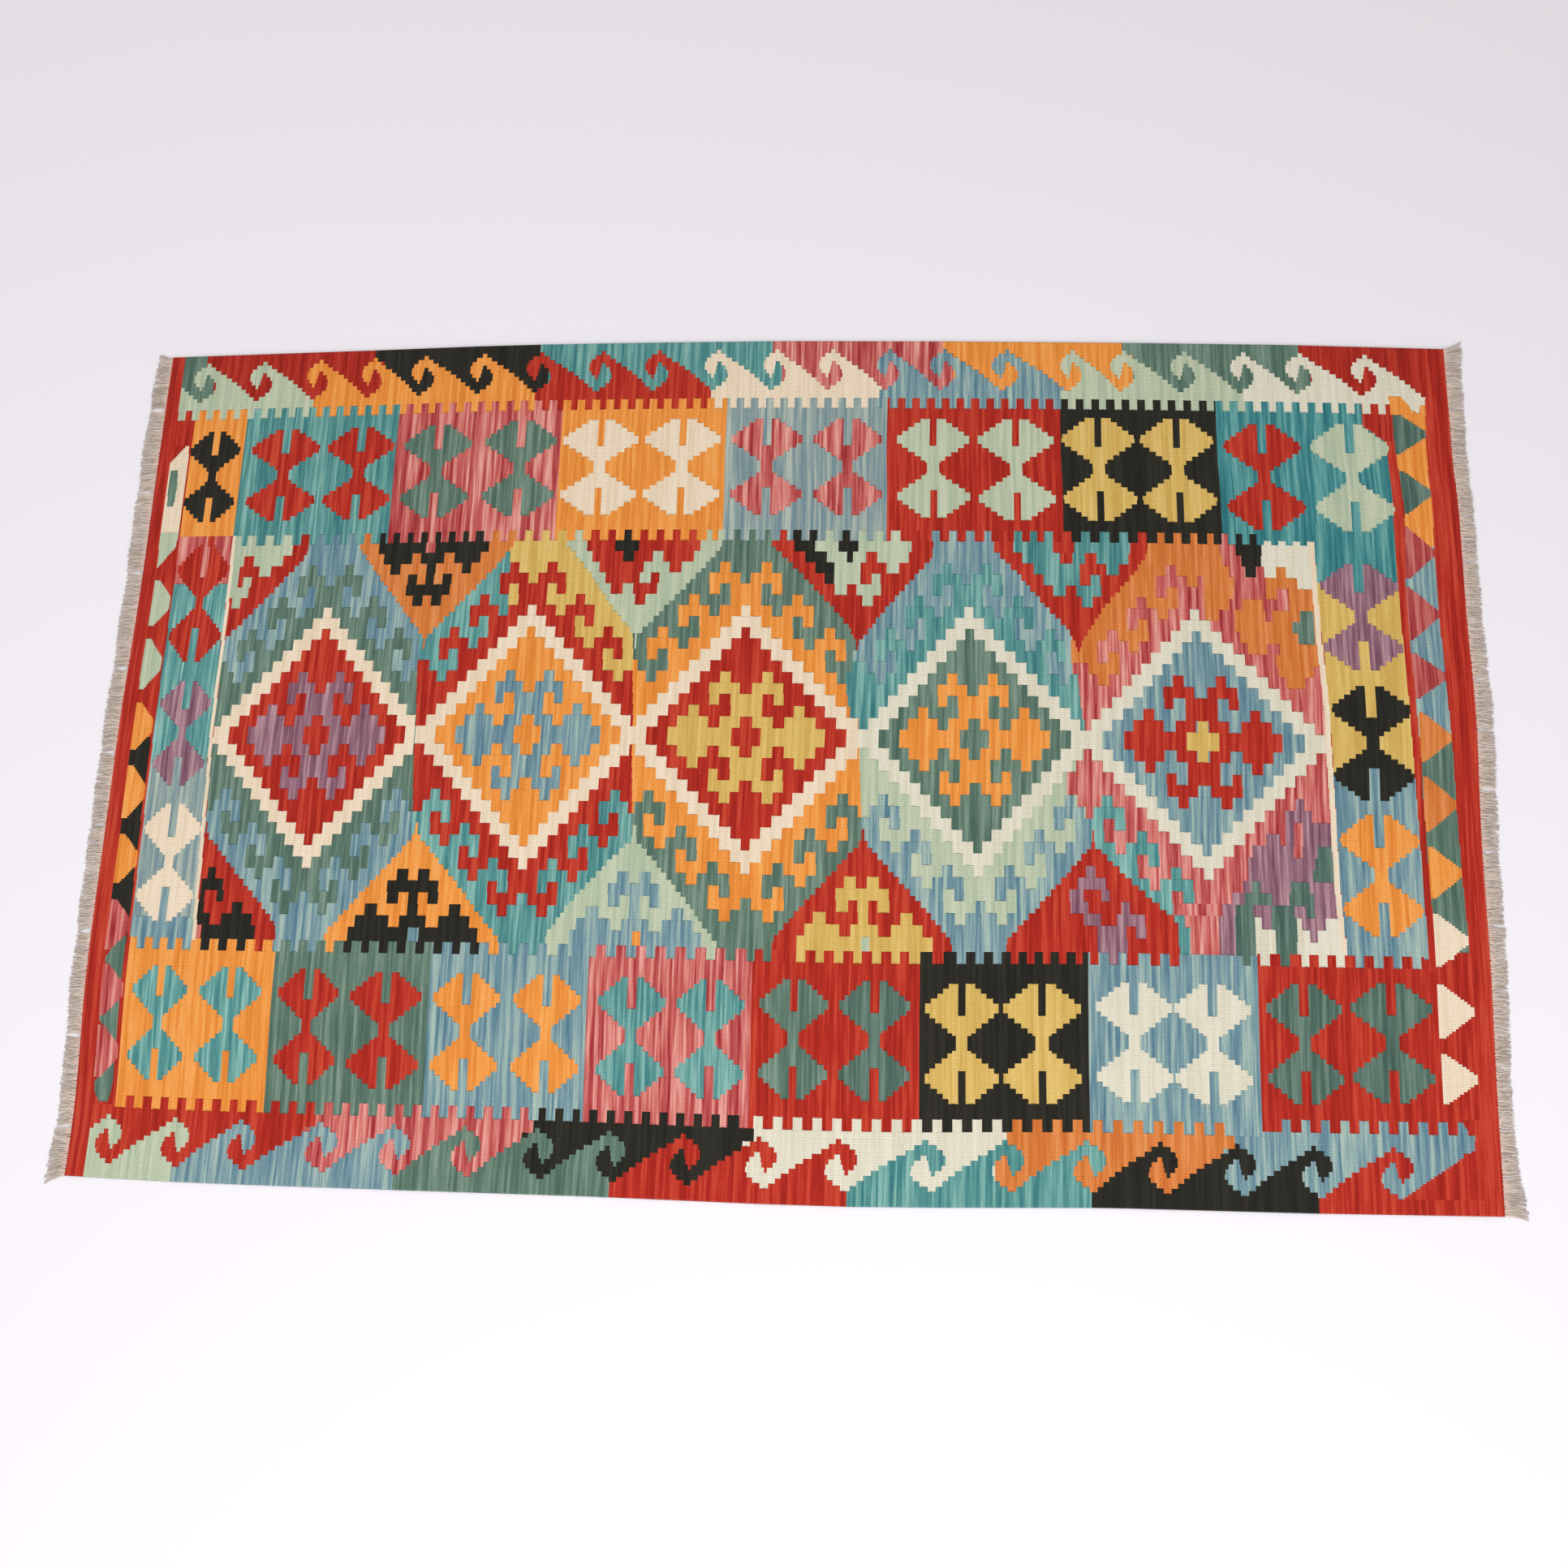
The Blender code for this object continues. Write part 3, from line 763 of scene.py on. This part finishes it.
def weaveStretch(name):
    firstWarp, lastWarp, left, right, source = stretches[name]
    yarn = skein(source) if isinstance(source, str) else yarnAt(*source)
    weaveIn(firstWarp, lastWarp, left, right, yarn)


# the weaving in its order, because what comes later covers what was there
for row in boxRows:
    weaveBoxes(row)
weaveField()
weaveSides()
fillBetween(*stripes["fieldStart"])
fillBetween(*stripes["fieldEnd"])
weaveWaves(topBorder)
weaveWaves(bottomBorder)
weaveShapes("topRight")
weaveStretch("underWaves")
for row in boxRows:
    carryGrounds(row)
weaveStretch("underLastBox")
weave[field["spareWarp"]] = list(weave[field["spareWarp"] + 1])
weaveComb("top")
weaveComb("upper")
weaveStretch("underTopBox")
weaveComb("lower")
weaveStretch("overLastBox")
for comb in ("last", "bottom", "end"):
    weaveComb(comb)
fillBetween(*stripes["redEndLeft"])
weaveShapes("bottomRight")
fillBetween(*stripes["redEndRight"])

for warp, row in enumerate(weave):
    joined = []
    for a, b, yarn in row:
        if joined and joined[-1][2] == yarn:
            joined[-1] = (joined[-1][0], b, yarn)
        else:
            joined.append((a, b, yarn))
    weave[warp] = joined
print("woven:", sum(len(row) for row in weave), "floats of yarn")


def linear(hexColour):
    # sRGB hex to the linear values Blender mixes in
    channels = [int(hexColour[i:i + 2], 16) / 255 for i in (1, 3, 5)]
    return [c / 12.92 if c <= 0.04045 else ((c + 0.055) / 1.055) ** 2.4 for c in channels] + [1.0]


def addNode(tree, kind, inputs=(), **settings):
    # adds a shader node; inputs are values or the sockets that feed it, by name or number
    node = tree.nodes.new("ShaderNode" + kind)
    for name, value in settings.items():
        setattr(node, name, value)
    for socket, value in dict(inputs).items():
        if isinstance(value, bpy.types.NodeSocket):
            tree.links.new(value, node.inputs[socket])
        else:
            node.inputs[socket].default_value = value
    return node


def newMaterial(name, settings):
    material = bpy.data.materials.new(name)
    material.use_nodes = True
    shader = material.node_tree.nodes["Principled BSDF"]
    for socket, value in settings.items():
        shader.inputs[socket].default_value = value
    return material, material.node_tree, shader


def newPiece(name, points, faces, materials, attributes):
    # attributes are listed as name, domain, values
    mesh = bpy.data.meshes.new(name)
    mesh.from_pydata(points, [], faces)
    for material in materials:
        mesh.materials.append(material)
    for label, domain, values in attributes:
        mesh.attributes.new(label, "FLOAT", domain).data.foreach_set("value", values)
    mesh.shade_smooth()
    piece = bpy.data.objects.new(name, mesh)
    scene.collection.objects.link(piece)
    print(name + ":", len(points), "points,", sum(len(face) - 2 for face in faces), "triangles")
    return piece


# what a dyer would change: the even shade, the deep and the pale ends of its hanks, and how
# strongly they show as streaks (abrash), 0 to 1
dyes = {
    "madder": ("#B22A1D", "#8A140B", "#CE4E36", 0.75),
    "deepMadder": ("#A8261A", "#83110A", "#C13F2E", 0.8),
    "orange": ("#E8923F", "#CF7524", "#F2AE62", 0.7),
    "deepOrange": ("#D27A3A", "#BC6024", "#E2965C", 0.8),
    "gold": ("#D3B160", "#BD974A", "#E3C67E", 0.6),
    "ivory": ("#E6D4BB", "#D5C0A3", "#EFE2CE", 0.5),
    "coolIvory": ("#D9D5C2", "#C9C2AB", "#E6E2D2", 0.5),
    "black": ("#24231D", "#151411", "#343129", 0.6),
    "seaGreen": ("#5D786A", "#405C52", "#859D8E", 0.8),
    "deepSea": ("#536E63", "#37524A", "#778F84", 0.8),
    "teal": ("#57928F", "#2C6D74", "#8CBAB2", 0.9),
    "paleTeal": ("#629C98", "#34777C", "#97C4BC", 0.9),
    "deepTeal": ("#3F868A", "#1F666F", "#72ACA8", 0.9),
    "sky": ("#7898A0", "#50768A", "#A6BCB2", 1.0),
    "mist": ("#91A3A0", "#6C8893", "#B4BEB4", 1.0),
    "mint": ("#B5C1A6", "#9DB098", "#CBD0B8", 0.7),
    "rose": ("#C4605C", "#96212A", "#E5A498", 1.0),
    "deepRose": ("#B14E4D", "#92242D", "#CC7A74", 1.0),
    "purple": ("#916978", "#6E455A", "#B8939C", 1.0),
}
wool = {
    "IOR": 1.55,             # keratin
    "Roughness": 0.88,       # matt, scaly fibre
    "Sheen Weight": 0.06,    # loose fibre ends catch grazing light
    "Sheen Roughness": 0.5,
    "Specular IOR Level": 0.15,
}
streak = {
    "hankWidth": 5.2,        # mm along the warps before the shade of a hank changes
    "hankLength": 230.0,     # mm across them
    "passWidth": 2.3,        # mm, a few passes of weft beaten together; the finest streak that shows
    "passLength": 48.0,
    "passShare": 0.40,       # of the tone that comes from the passes; the rest comes from the hanks
    "roughness": 0.55,
}
relief = {
    "bead": 3.2,             # mm, two passes of weft; really 2 mm, drawn coarser so that it shows
    "height": 0.00030,       # m
    "strength": 0.6,
    "grain": 420.0,          # scale of the mottled fibre
    "grainShade": (0.93, 1.07),
    "valleyShade": 0.86,     # painted shade between two ribs
    # painted shade in the slits where two colours turn back
    "slitShade": 0.42,
}


def woolMaterial(name, dye):
    # hand-spun wool, pot-dyed and woven weft-faced: streaks across the warps where one hank ends
    # and the next begins, a row of small beads along every rib, and a dull, slightly hairy face
    even, deep, pale, strength = dye
    material, tree, shader = newMaterial("wool, hand-spun, pot-dyed " + name, wool)

    def calc(operation, *values):
        return addNode(tree, "Math", dict(enumerate(values)), operation=operation).outputs[0]

    def spread(value, low, high, newLow=0.0, newHigh=1.0):
        values = {0: value, 1: low, 2: high, 3: newLow, 4: newHigh}
        return addNode(tree, "MapRange", values, clamp=True).outputs[0]

    def mixed(share, first, second):
        values = {0: share, 6: first, 7: second}
        return addNode(tree, "Mix", values, data_type="RGBA").outputs[2]

    place = addNode(tree, "UVMap", uv_map="weave")
    hank = addNode(tree, "Attribute", attribute_name="hank").outputs["Fac"]
    slit = addNode(tree, "Attribute", attribute_name="slit").outputs["Fac"]
    parts = addNode(tree, "SeparateXYZ", {0: place.outputs[0]})
    along, across = parts.outputs[0], parts.outputs[1]
    apart = calc("MULTIPLY", hank, 7.3)      # so far off that no two hanks look alike

    def streaks(width, length):
        # noise drawn out across the warps
        spots = {0: calc("MULTIPLY", along, 1000 / width),
                 1: calc("MULTIPLY", across, 1000 / length), 2: apart}
        values = {"Vector": addNode(tree, "CombineXYZ", spots).outputs[0], "Scale": 1.0,
                  "Detail": 1.0, "Roughness": streak["roughness"]}
        return addNode(tree, "TexNoise", values).outputs["Fac"]

    # the hanks set the shade; each few passes of weft took the dye a little differently
    hankTone = spread(streaks(streak["hankWidth"], streak["hankLength"]), 0.38, 0.62)
    passTone = spread(streaks(streak["passWidth"], streak["passLength"]), 0.34, 0.66)
    tone = calc("MULTIPLY_ADD", passTone, streak["passShare"],
                calc("MULTIPLY", hankTone, 1 - streak["passShare"]))
    tone = spread(tone, 0.0, 1.0, 0.5 - 0.5 * strength, 0.5 + 0.5 * strength)
    shade = mixed(spread(tone, 0.0, 0.5), linear(deep), linear(even))
    shade = mixed(spread(tone, 0.5, 1.0), shade, linear(pale))

    # mottled fibre, painted shade between the ribs, and painted shade in the slits where two colours turn
    # back
    rib = calc("MULTIPLY", across, 1000 * cloth["warps"] / cloth["width"])
    offCrest = calc("MULTIPLY", calc("ABSOLUTE", calc("SUBTRACT", calc("FRACT", rib), 0.5)), 2.0)
    valley = calc("POWER", offCrest, 4.0)
    grain = addNode(tree, "TexNoise", {"Vector": place.outputs[0], "Scale": relief["grain"],
                                       "Detail": 2.0, "Roughness": 0.6}).outputs["Fac"]
    dim = calc("MULTIPLY", spread(grain, 0.3, 0.7, *relief["grainShade"]),
               spread(valley, 0.0, 1.0, 1.0, relief["valleyShade"]))
    dim = calc("MULTIPLY", dim, spread(slit, 0.0, 1.0, 1.0, relief["slitShade"]))
    # the dyed colour, mottled and darkened by the painted shade
    finalColour = addNode(tree, "VectorMath", {0: shade, 3: dim}, operation="SCALE").outputs[0]
    tree.links.new(finalColour, shader.inputs["Base Color"])

    # round ribs, and beads along them; the weft goes over one warp and under the next, so the
    # beads of neighbouring ribs are half a bead apart
    odd = calc("MULTIPLY", calc("FLOOR", rib), 0.5)
    bead = calc("PINGPONG", calc("MULTIPLY_ADD", along, 1000 / relief["bead"], odd), 0.5)
    crown = calc("SUBTRACT", 1.0, calc("MULTIPLY", offCrest, offCrest))
    height = calc("ADD", calc("MULTIPLY", bead, 1.2), calc("MULTIPLY", crown, 1.0))
    height = calc("ADD", height, calc("MULTIPLY", grain, 0.8))
    bump = addNode(tree, "Bump", {"Height": height, "Strength": relief["strength"],
                                  "Distance": relief["height"]})
    tree.links.new(bump.outputs[0], shader.inputs["Normal"])
    return material


def joinedBlocks(rows):
    # floats that repeat on the next warps too: first warp, past the last, left, right, yarn
    growing, blocks = {}, []
    for warp, row in enumerate(rows + [[]]):
        for strand in [strand for strand in growing if strand not in row]:
            blocks.append((growing.pop(strand), warp) + strand)
        for strand in row:
            growing.setdefault(strand, warp)
    return blocks


def buildCloth():
    # ribbed above, flat below, and closed at all four edges
    length, warps, rounding = cloth["length"], cloth["warps"], cloth["rounding"]
    crestHigh, valleyHigh = cloth["thickness"], cloth["thickness"] - cloth["ribDepth"]
    regular = set(range(0, length, cloth["longestFace"])) | {length, rounding, length - rounding}
    rowBreaks = [{a for a, b, yarn in row} | regular for row in weave]
    points = []              # along (mm), warp line, height (m), slit

    def addPoint(place, line, height, slit=0.0):
        points.append((place, line, height, slit))
        return len(points) - 1

    def addLine(places, line, height, slits):
        # a line of points across the whole length, lower where it meets the ends and in the slits
        found = {}
        for place in sorted(places | set(slits)):
            slit = slits.get(place, 0.0)
            low = height - slit * cloth["slitDepth"]
            found[place] = addPoint(place, line, crestHigh / 2 if place in (0, length) else low, slit)
        return found

    def slitsOn(line, places):
        # the middle of every stretch where the two ribs beside this valley have different dyes
        found = {}
        if 0 < line < warps:
            for start, end in itertools.pairwise(sorted(places)):
                middle, gap = (start + end) / 2, end - start
                dye, other = yarnAt(line - 1, middle)[0], yarnAt(line, middle)[0]
                if gap > cloth["shortestSlit"] and dye != other:
                    found[middle] = max(min(1.0, cloth["wideSlit"] / gap), cloth["leastSlit"])
        return found

    tops, crests = [], []
    for line in range(warps + 1):
        places = set().union(*(rowBreaks[i] for i in (line - 1, line) if 0 <= i < warps))
        height = valleyHigh if 0 < line < warps else crestHigh / 2
        tops.append(addLine(places, line, height, slitsOn(line, places)))
    for warp in range(warps):
        crests.append(addLine(rowBreaks[warp], warp + 0.5, crestHigh, {}))

    # the underside has the same pattern, but only the corners of its blocks
    blocks = joinedBlocks(weave)
    unders = [{0: top[0], length: top[length]} for top in tops]
    unders[0], unders[warps] = tops[0], tops[warps]
    for first, last, a, b, yarn in blocks:
        for line, place in itertools.product((first, last), (a, b)):
            if place not in unders[line]:
                unders[line][place] = addPoint(place, line, 0.0)

    dyeNames = list(dyes)
    faces, faceDyes, hanks = [], [], []

    def addFace(corners, yarn):
        faces.append(corners)
        faceDyes.append(dyeNames.index(yarn[0]))
        hanks.append((yarn[1] * 0.618) % 1.0 * 10)      # steps of the golden ratio, so well spread

    def between(line, start, end):
        # the points of a line of the cloth from one place to another
        return [line[place] for place in sorted(line) if start <= place <= end]

    for warp, row in enumerate(weave):
        crest = crests[warp]
        strands = iter(row)
        a, b, yarn = next(strands)
        for start, end in itertools.pairwise(sorted(crest)):
            while start >= b:
                a, b, yarn = next(strands)
            addFace(between(tops[warp], start, end) + [crest[end], crest[start]], yarn)
            addFace([crest[start], crest[end]] + between(tops[warp + 1], start, end)[::-1], yarn)

    def upSide(place, first, last):
        # the points of the underside up one side of a block
        found = []
        for line in range(first, last + 1):
            found += [unders[line][place]] if place in unders[line] else []
            found += [crests[line][place]] if place in (0, length) and line < last else []
        return found

    for first, last, a, b, yarn in blocks:
        rim = upSide(a, first, last) + between(unders[last], a, b)[1:]
        rim += upSide(b, first, last)[-2::-1] + between(unders[first], a, b)[-2:0:-1]
        addFace(rim, yarn)

    # a few broad, very low waves, because no floor and no rug is quite flat
    table = numpy.array(points)
    along, across = table[:, 0] / length, table[:, 1] / warps
    chance = random.Random(cloth["liftSeed"])
    lift = numpy.zeros(len(table))
    for turn in range(cloth["liftWaves"]):
        wide, deep = chance.uniform(1.5, 5), chance.uniform(1, 4)
        start = chance.uniform(0, 6)
        lift += numpy.sin(wide * along * 6.28 + start) * numpy.cos(deep * across * 6.28 + start * 2)
    lift = (lift - lift.min()) / (lift.max() - lift.min()) * cloth["lift"]
    coordinates = numpy.column_stack([onRug(along, across), table[:, 2] + lift])

    piece = newPiece("woven_cloth", coordinates.tolist(), faces,
                     [woolMaterial(name, dye) for name, dye in dyes.items()],
                     [("hank", "FACE", hanks), ("slit", "POINT", table[:, 3].tolist())])
    mesh = piece.data
    mesh.polygons.foreach_set("material_index", faceDyes)
    corner = numpy.empty(len(mesh.loops), numpy.int32)
    mesh.loops.foreach_get("vertex_index", corner)
    # "weave" is in metres along and across the warps; "OFBake" is the same, filling a square picture
    for layer, size in (("weave", (length / 1000, cloth["width"] / 1000)), ("OFBake", (1, 1))):
        spots = numpy.column_stack([along * size[0], across * size[1]])[corner]
        mesh.uv_layers.new(name=layer).uv.foreach_set("vector", spots.astype(numpy.float32).ravel())
    mesh.validate()
    return piece


fringe = {
    "plies": 3,              # every warp end has opened into its plies
    "ply": 0.00135,          # m across one ply, fluffed out
    "taper": 0.45,           # how much thinner it is at its tip
    "sections": 7,
    "sides": 5,
    "tuck": 0.0012,          # m that a root goes in under the last weft
    "spread": 0.0014,        # m, how much the lengths differ
    "pull": 0.055,           # how far the warps of a bundle are drawn together
    "tightest": 0.35,        # where they are closest together, as a share of the length
    "opening": 1.15,         # how fast they open again from there
    "sway": 0.0007,          # m
    "curl": 0.0006,          # m
    "layers": 0.0010,        # m of height over which the plies lie across each other
    "settle": 0.0002,        # m less of it at the tips
    "rise": 0.0006,          # m that the roots lie higher than the tips
    "clear": 0.0001,         # m above the floor
    "tipCurve": (1.03, 0.006),       # length in the middle of a bundle, and how much less per warp
    "cornerReach": 0.026,    # m from the corner where the strands start to fan out
    "paleRoot": 0.3,         # share of the length that is paler near the weft
}
fringeDyes = {"deep": "#AE9F93", "pale": "#DCCEC1", "root": "#E2C4B8"}
rawWarp = {"IOR": 1.53, "Roughness": 0.9, "Sheen Weight": 0.15, "Specular IOR Level": 0.2}
# how long the fringe is along each end (mm): share up the end, left, right
fringeLengths = ((0.00, 22.0, 23.0), (0.03, 19.0, 18.5), (0.06, 17.5, 15.5), (0.12, 17.0, 14.0),
                 (0.25, 17.0, 16.0), (0.50, 18.0, 17.5), (0.75, 20.0, 15.8), (0.94, 20.0, 16.5),
                 (1.00, 16.0, 19.0))
# how far the last strands fan out past the bottom and the top selvedge (mm): left, right
fanned = ((11.0, 4.5), (6.0, 10.0))


def warpMaterial():
    # undyed warp, spun hard and left raw: grey-beige, dull, fluffed open where it was cut, and paler
    # where the last weft still holds it
    material, tree, shader = newMaterial("warp yarn, undyed grey-beige, fluffed open", rawWarp)
    deep, pale, root = [linear(fringeDyes[name]) for name in ("deep", "pale", "root")]
    tint = addNode(tree, "Attribute", attribute_name="strand").outputs["Fac"]
    nearRoot = addNode(tree, "Attribute", attribute_name="root").outputs["Fac"]
    place = addNode(tree, "TexCoord")
    fuzz = addNode(tree, "TexNoise", {"Vector": place.outputs["Object"], "Scale": 1400.0,
                                      "Detail": 3.0}).outputs["Fac"]
    shade = addNode(tree, "Mix", {0: tint, 6: deep, 7: pale}, data_type="RGBA").outputs[2]
    shade = addNode(tree, "Mix", {0: nearRoot, 6: shade, 7: root}, data_type="RGBA").outputs[2]
    dim = addNode(tree, "MapRange", {0: fuzz, 1: 0.2, 2: 0.8, 3: 0.85, 4: 1.12}).outputs[0]
    finalColour = addNode(tree, "VectorMath", {0: shade, 3: dim}, operation="SCALE").outputs[0]
    tree.links.new(finalColour, shader.inputs["Base Color"])
    bump = addNode(tree, "Bump", {"Height": fuzz, "Strength": 0.4, "Distance": 0.0002})
    tree.links.new(bump.outputs[0], shader.inputs["Normal"])
    return material


def bundleMiddles(chance, size):
    # the warps were drawn together in bundles, of about this many, when the rug was cut off
    middles = []
    while len(middles) < cloth["warps"]:
        warps = max(4, round(chance.gauss(size, size / 3)))
        middles += [len(middles) + warps / 2] * warps
    return middles


def buildFringe(name, rows, outward, column, bundle, seed, material):
    chance = random.Random(seed)
    points, faces, tints, roots = [], [], [], []
    low, high = rows[0][1], rows[-1][1]
    middles = bundleMiddles(chance, bundle)
    sides, plies, reach = fringe["sides"], fringe["plies"], fringe["cornerReach"]
    fanBottom, fanTop = fanned[0][column - 1], fanned[1][column - 1]
    for strand in range(cloth["warps"] * plies):
        warp = (strand + 0.5) / plies
        share = warp / cloth["warps"]
        y = low + (high - low) * share
        x = smoothValue(rows, y, 0, 1)
        length = smoothValue(fringeLengths, share, column, 0) / 1000
        length += chance.uniform(-1, 1) * fringe["spread"]
        offMiddle = middles[int(warp)] - warp
        length *= fringe["tipCurve"][0] - fringe["tipCurve"][1] * abs(offMiddle)
        draw = offMiddle * (high - low) / cloth["warps"] * fringe["pull"]
        sweep = max(0.0, 1 - (high - y) / reach) ** 1.5 * fanTop
        sweep -= max(0.0, 1 - (y - low) / reach) ** 1.5 * fanBottom
        lean = sweep / 1000 + chance.gauss(0, 1) * fringe["sway"]
        curl = chance.gauss(0, 1) * fringe["curl"]
        layer, tone, start = chance.uniform(0, 1), chance.uniform(0, 1), chance.uniform(0, 6.28)
        rings = []
        for section in range(fringe["sections"]):
            t = section / (fringe["sections"] - 1)
            radius = fringe["ply"] / 2 * (1.0 - fringe["taper"] * t * t)
            # closest together near the root, opening again to the tips
            tight = fringe["tightest"]
            drawn = 1 - (1 - min(t / tight, 1.0)) ** 2 - fringe["opening"] * max(t - tight, 0.0)
            cx = x + outward * (-fringe["tuck"] + (length + fringe["tuck"]) * t)
            cy = y + draw * drawn + lean * t ** 1.4 + curl * math.sin(t * 5.0 + start)
            cz = radius + fringe["clear"] + (1 - t) * fringe["rise"]
            cz += layer * (fringe["layers"] - fringe["settle"] * t)
            rings.append(len(points))
            for side in range(sides):
                angle = side / sides * 2 * math.pi
                points.append((cx + shift[0], cy + radius * math.cos(angle) + shift[1],
                               cz + radius * math.sin(angle)))
                tints.append(tone)
                roots.append(max(0.0, 1 - t / fringe["paleRoot"]))
        loops = [[ring + side for side in range(sides)] for ring in rings]
        skin = [[first[side], first[side - 1], second[side - 1], second[side]]
                for first, second in zip(loops, loops[1:]) for side in range(sides)]
        skin += [loops[0], loops[-1][::-1]]
        faces += skin if outward < 0 else [face[::-1] for face in skin]
    return newPiece(name, points, faces, [material],
                    [("strand", "POINT", tints), ("root", "POINT", roots)])


clothPiece = buildCloth()
warpYarn = warpMaterial()
# each fringe: its end of the cloth, which way it points, its column above, warps in a bundle, seed
leftFringe = buildFringe("fringe_strands_left", leftEnd, -1, 1, 34, 11, warpYarn)
rightFringe = buildFringe("fringe_strands_right", rightEnd, 1, 2, 21, 29, warpYarn)
for piece, node, slotName in ((clothPiece, "kilim_cloth", "woven_wool"),
                              (leftFringe, "fringe_left", "warp_fringe"),
                              (rightFringe, "fringe_right", "warp_fringe")):
    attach(piece, "root")
    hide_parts(node)

studio = {
    # painted board, satin: an even pale floor, a little violet
    "floor": {"Base Color": linear("#EDEBF2"), "Roughness": 0.6, "Specular IOR Level": 0.3},
    "floorSize": 30.0,       # m
    "floorDrop": 0.0002,     # m under the rug, so that the two don't share a face
    "sky": {"Color": linear("#FFFBF8"), "Strength": 0.60},
}
# the daylight comes from the near side: place (m), size (m), power (W)
lamps = (
    ((0.3, -1.9, 2.1), 2.4, 53.0),
    ((-1.6, 0.6, 2.6), 1.6, 11.5),
)

bpy.ops.mesh.primitive_plane_add(size=studio["floorSize"], location=(0, 0, -studio["floorDrop"]))
floor = bpy.context.active_object
floor.name = "floor"
floor.data.materials.append(newMaterial("painted board, satin", studio["floor"])[0])

world = bpy.data.worlds.new("soft room")
world.use_nodes = True
for socket, value in studio["sky"].items():
    world.node_tree.nodes["Background"].inputs[socket].default_value = value
scene.world = world
scene.view_settings.view_transform = "Standard"

for number, (place, size, power) in enumerate(lamps):
    lamp = bpy.data.lights.new("soft lamp %d" % number, "AREA")
    lamp.size = size
    lamp.energy = power
    holder = bpy.data.objects.new("soft lamp %d" % number, lamp)
    scene.collection.objects.link(holder)
    holder.location = place
    holder.rotation_euler = (-Vector(place)).to_track_quat("-Z", "Y").to_euler()
print("floor and", len(lamps), "lamps in place")

camera = {
    "place": (0.18134, -0.63618, 2.04826),     # m, in the outline's own coordinates
    "look": (-0.081142, 0.277842, -0.957194),
    "up": (-0.009787, 0.960092, 0.279513),
    "focal": 2363.7,         # px of the photo's 1932
    "photo": 1932.0,
}
lens = bpy.data.cameras.new("camera")
lens.sensor_width = 36.0
lens.lens = camera["focal"] / camera["photo"] * lens.sensor_width
view = bpy.data.objects.new("camera", lens)
scene.collection.objects.link(view)
look = Vector(camera["look"]).normalized()
side = look.cross(Vector(camera["up"])).normalized()
turned = Matrix((side, side.cross(look), -look)).transposed()
place = Vector(camera["place"]) + Vector((shift[0], shift[1], 0))
view.matrix_world = Matrix.Translation(place) @ turned.to_4x4()
scene.camera = view
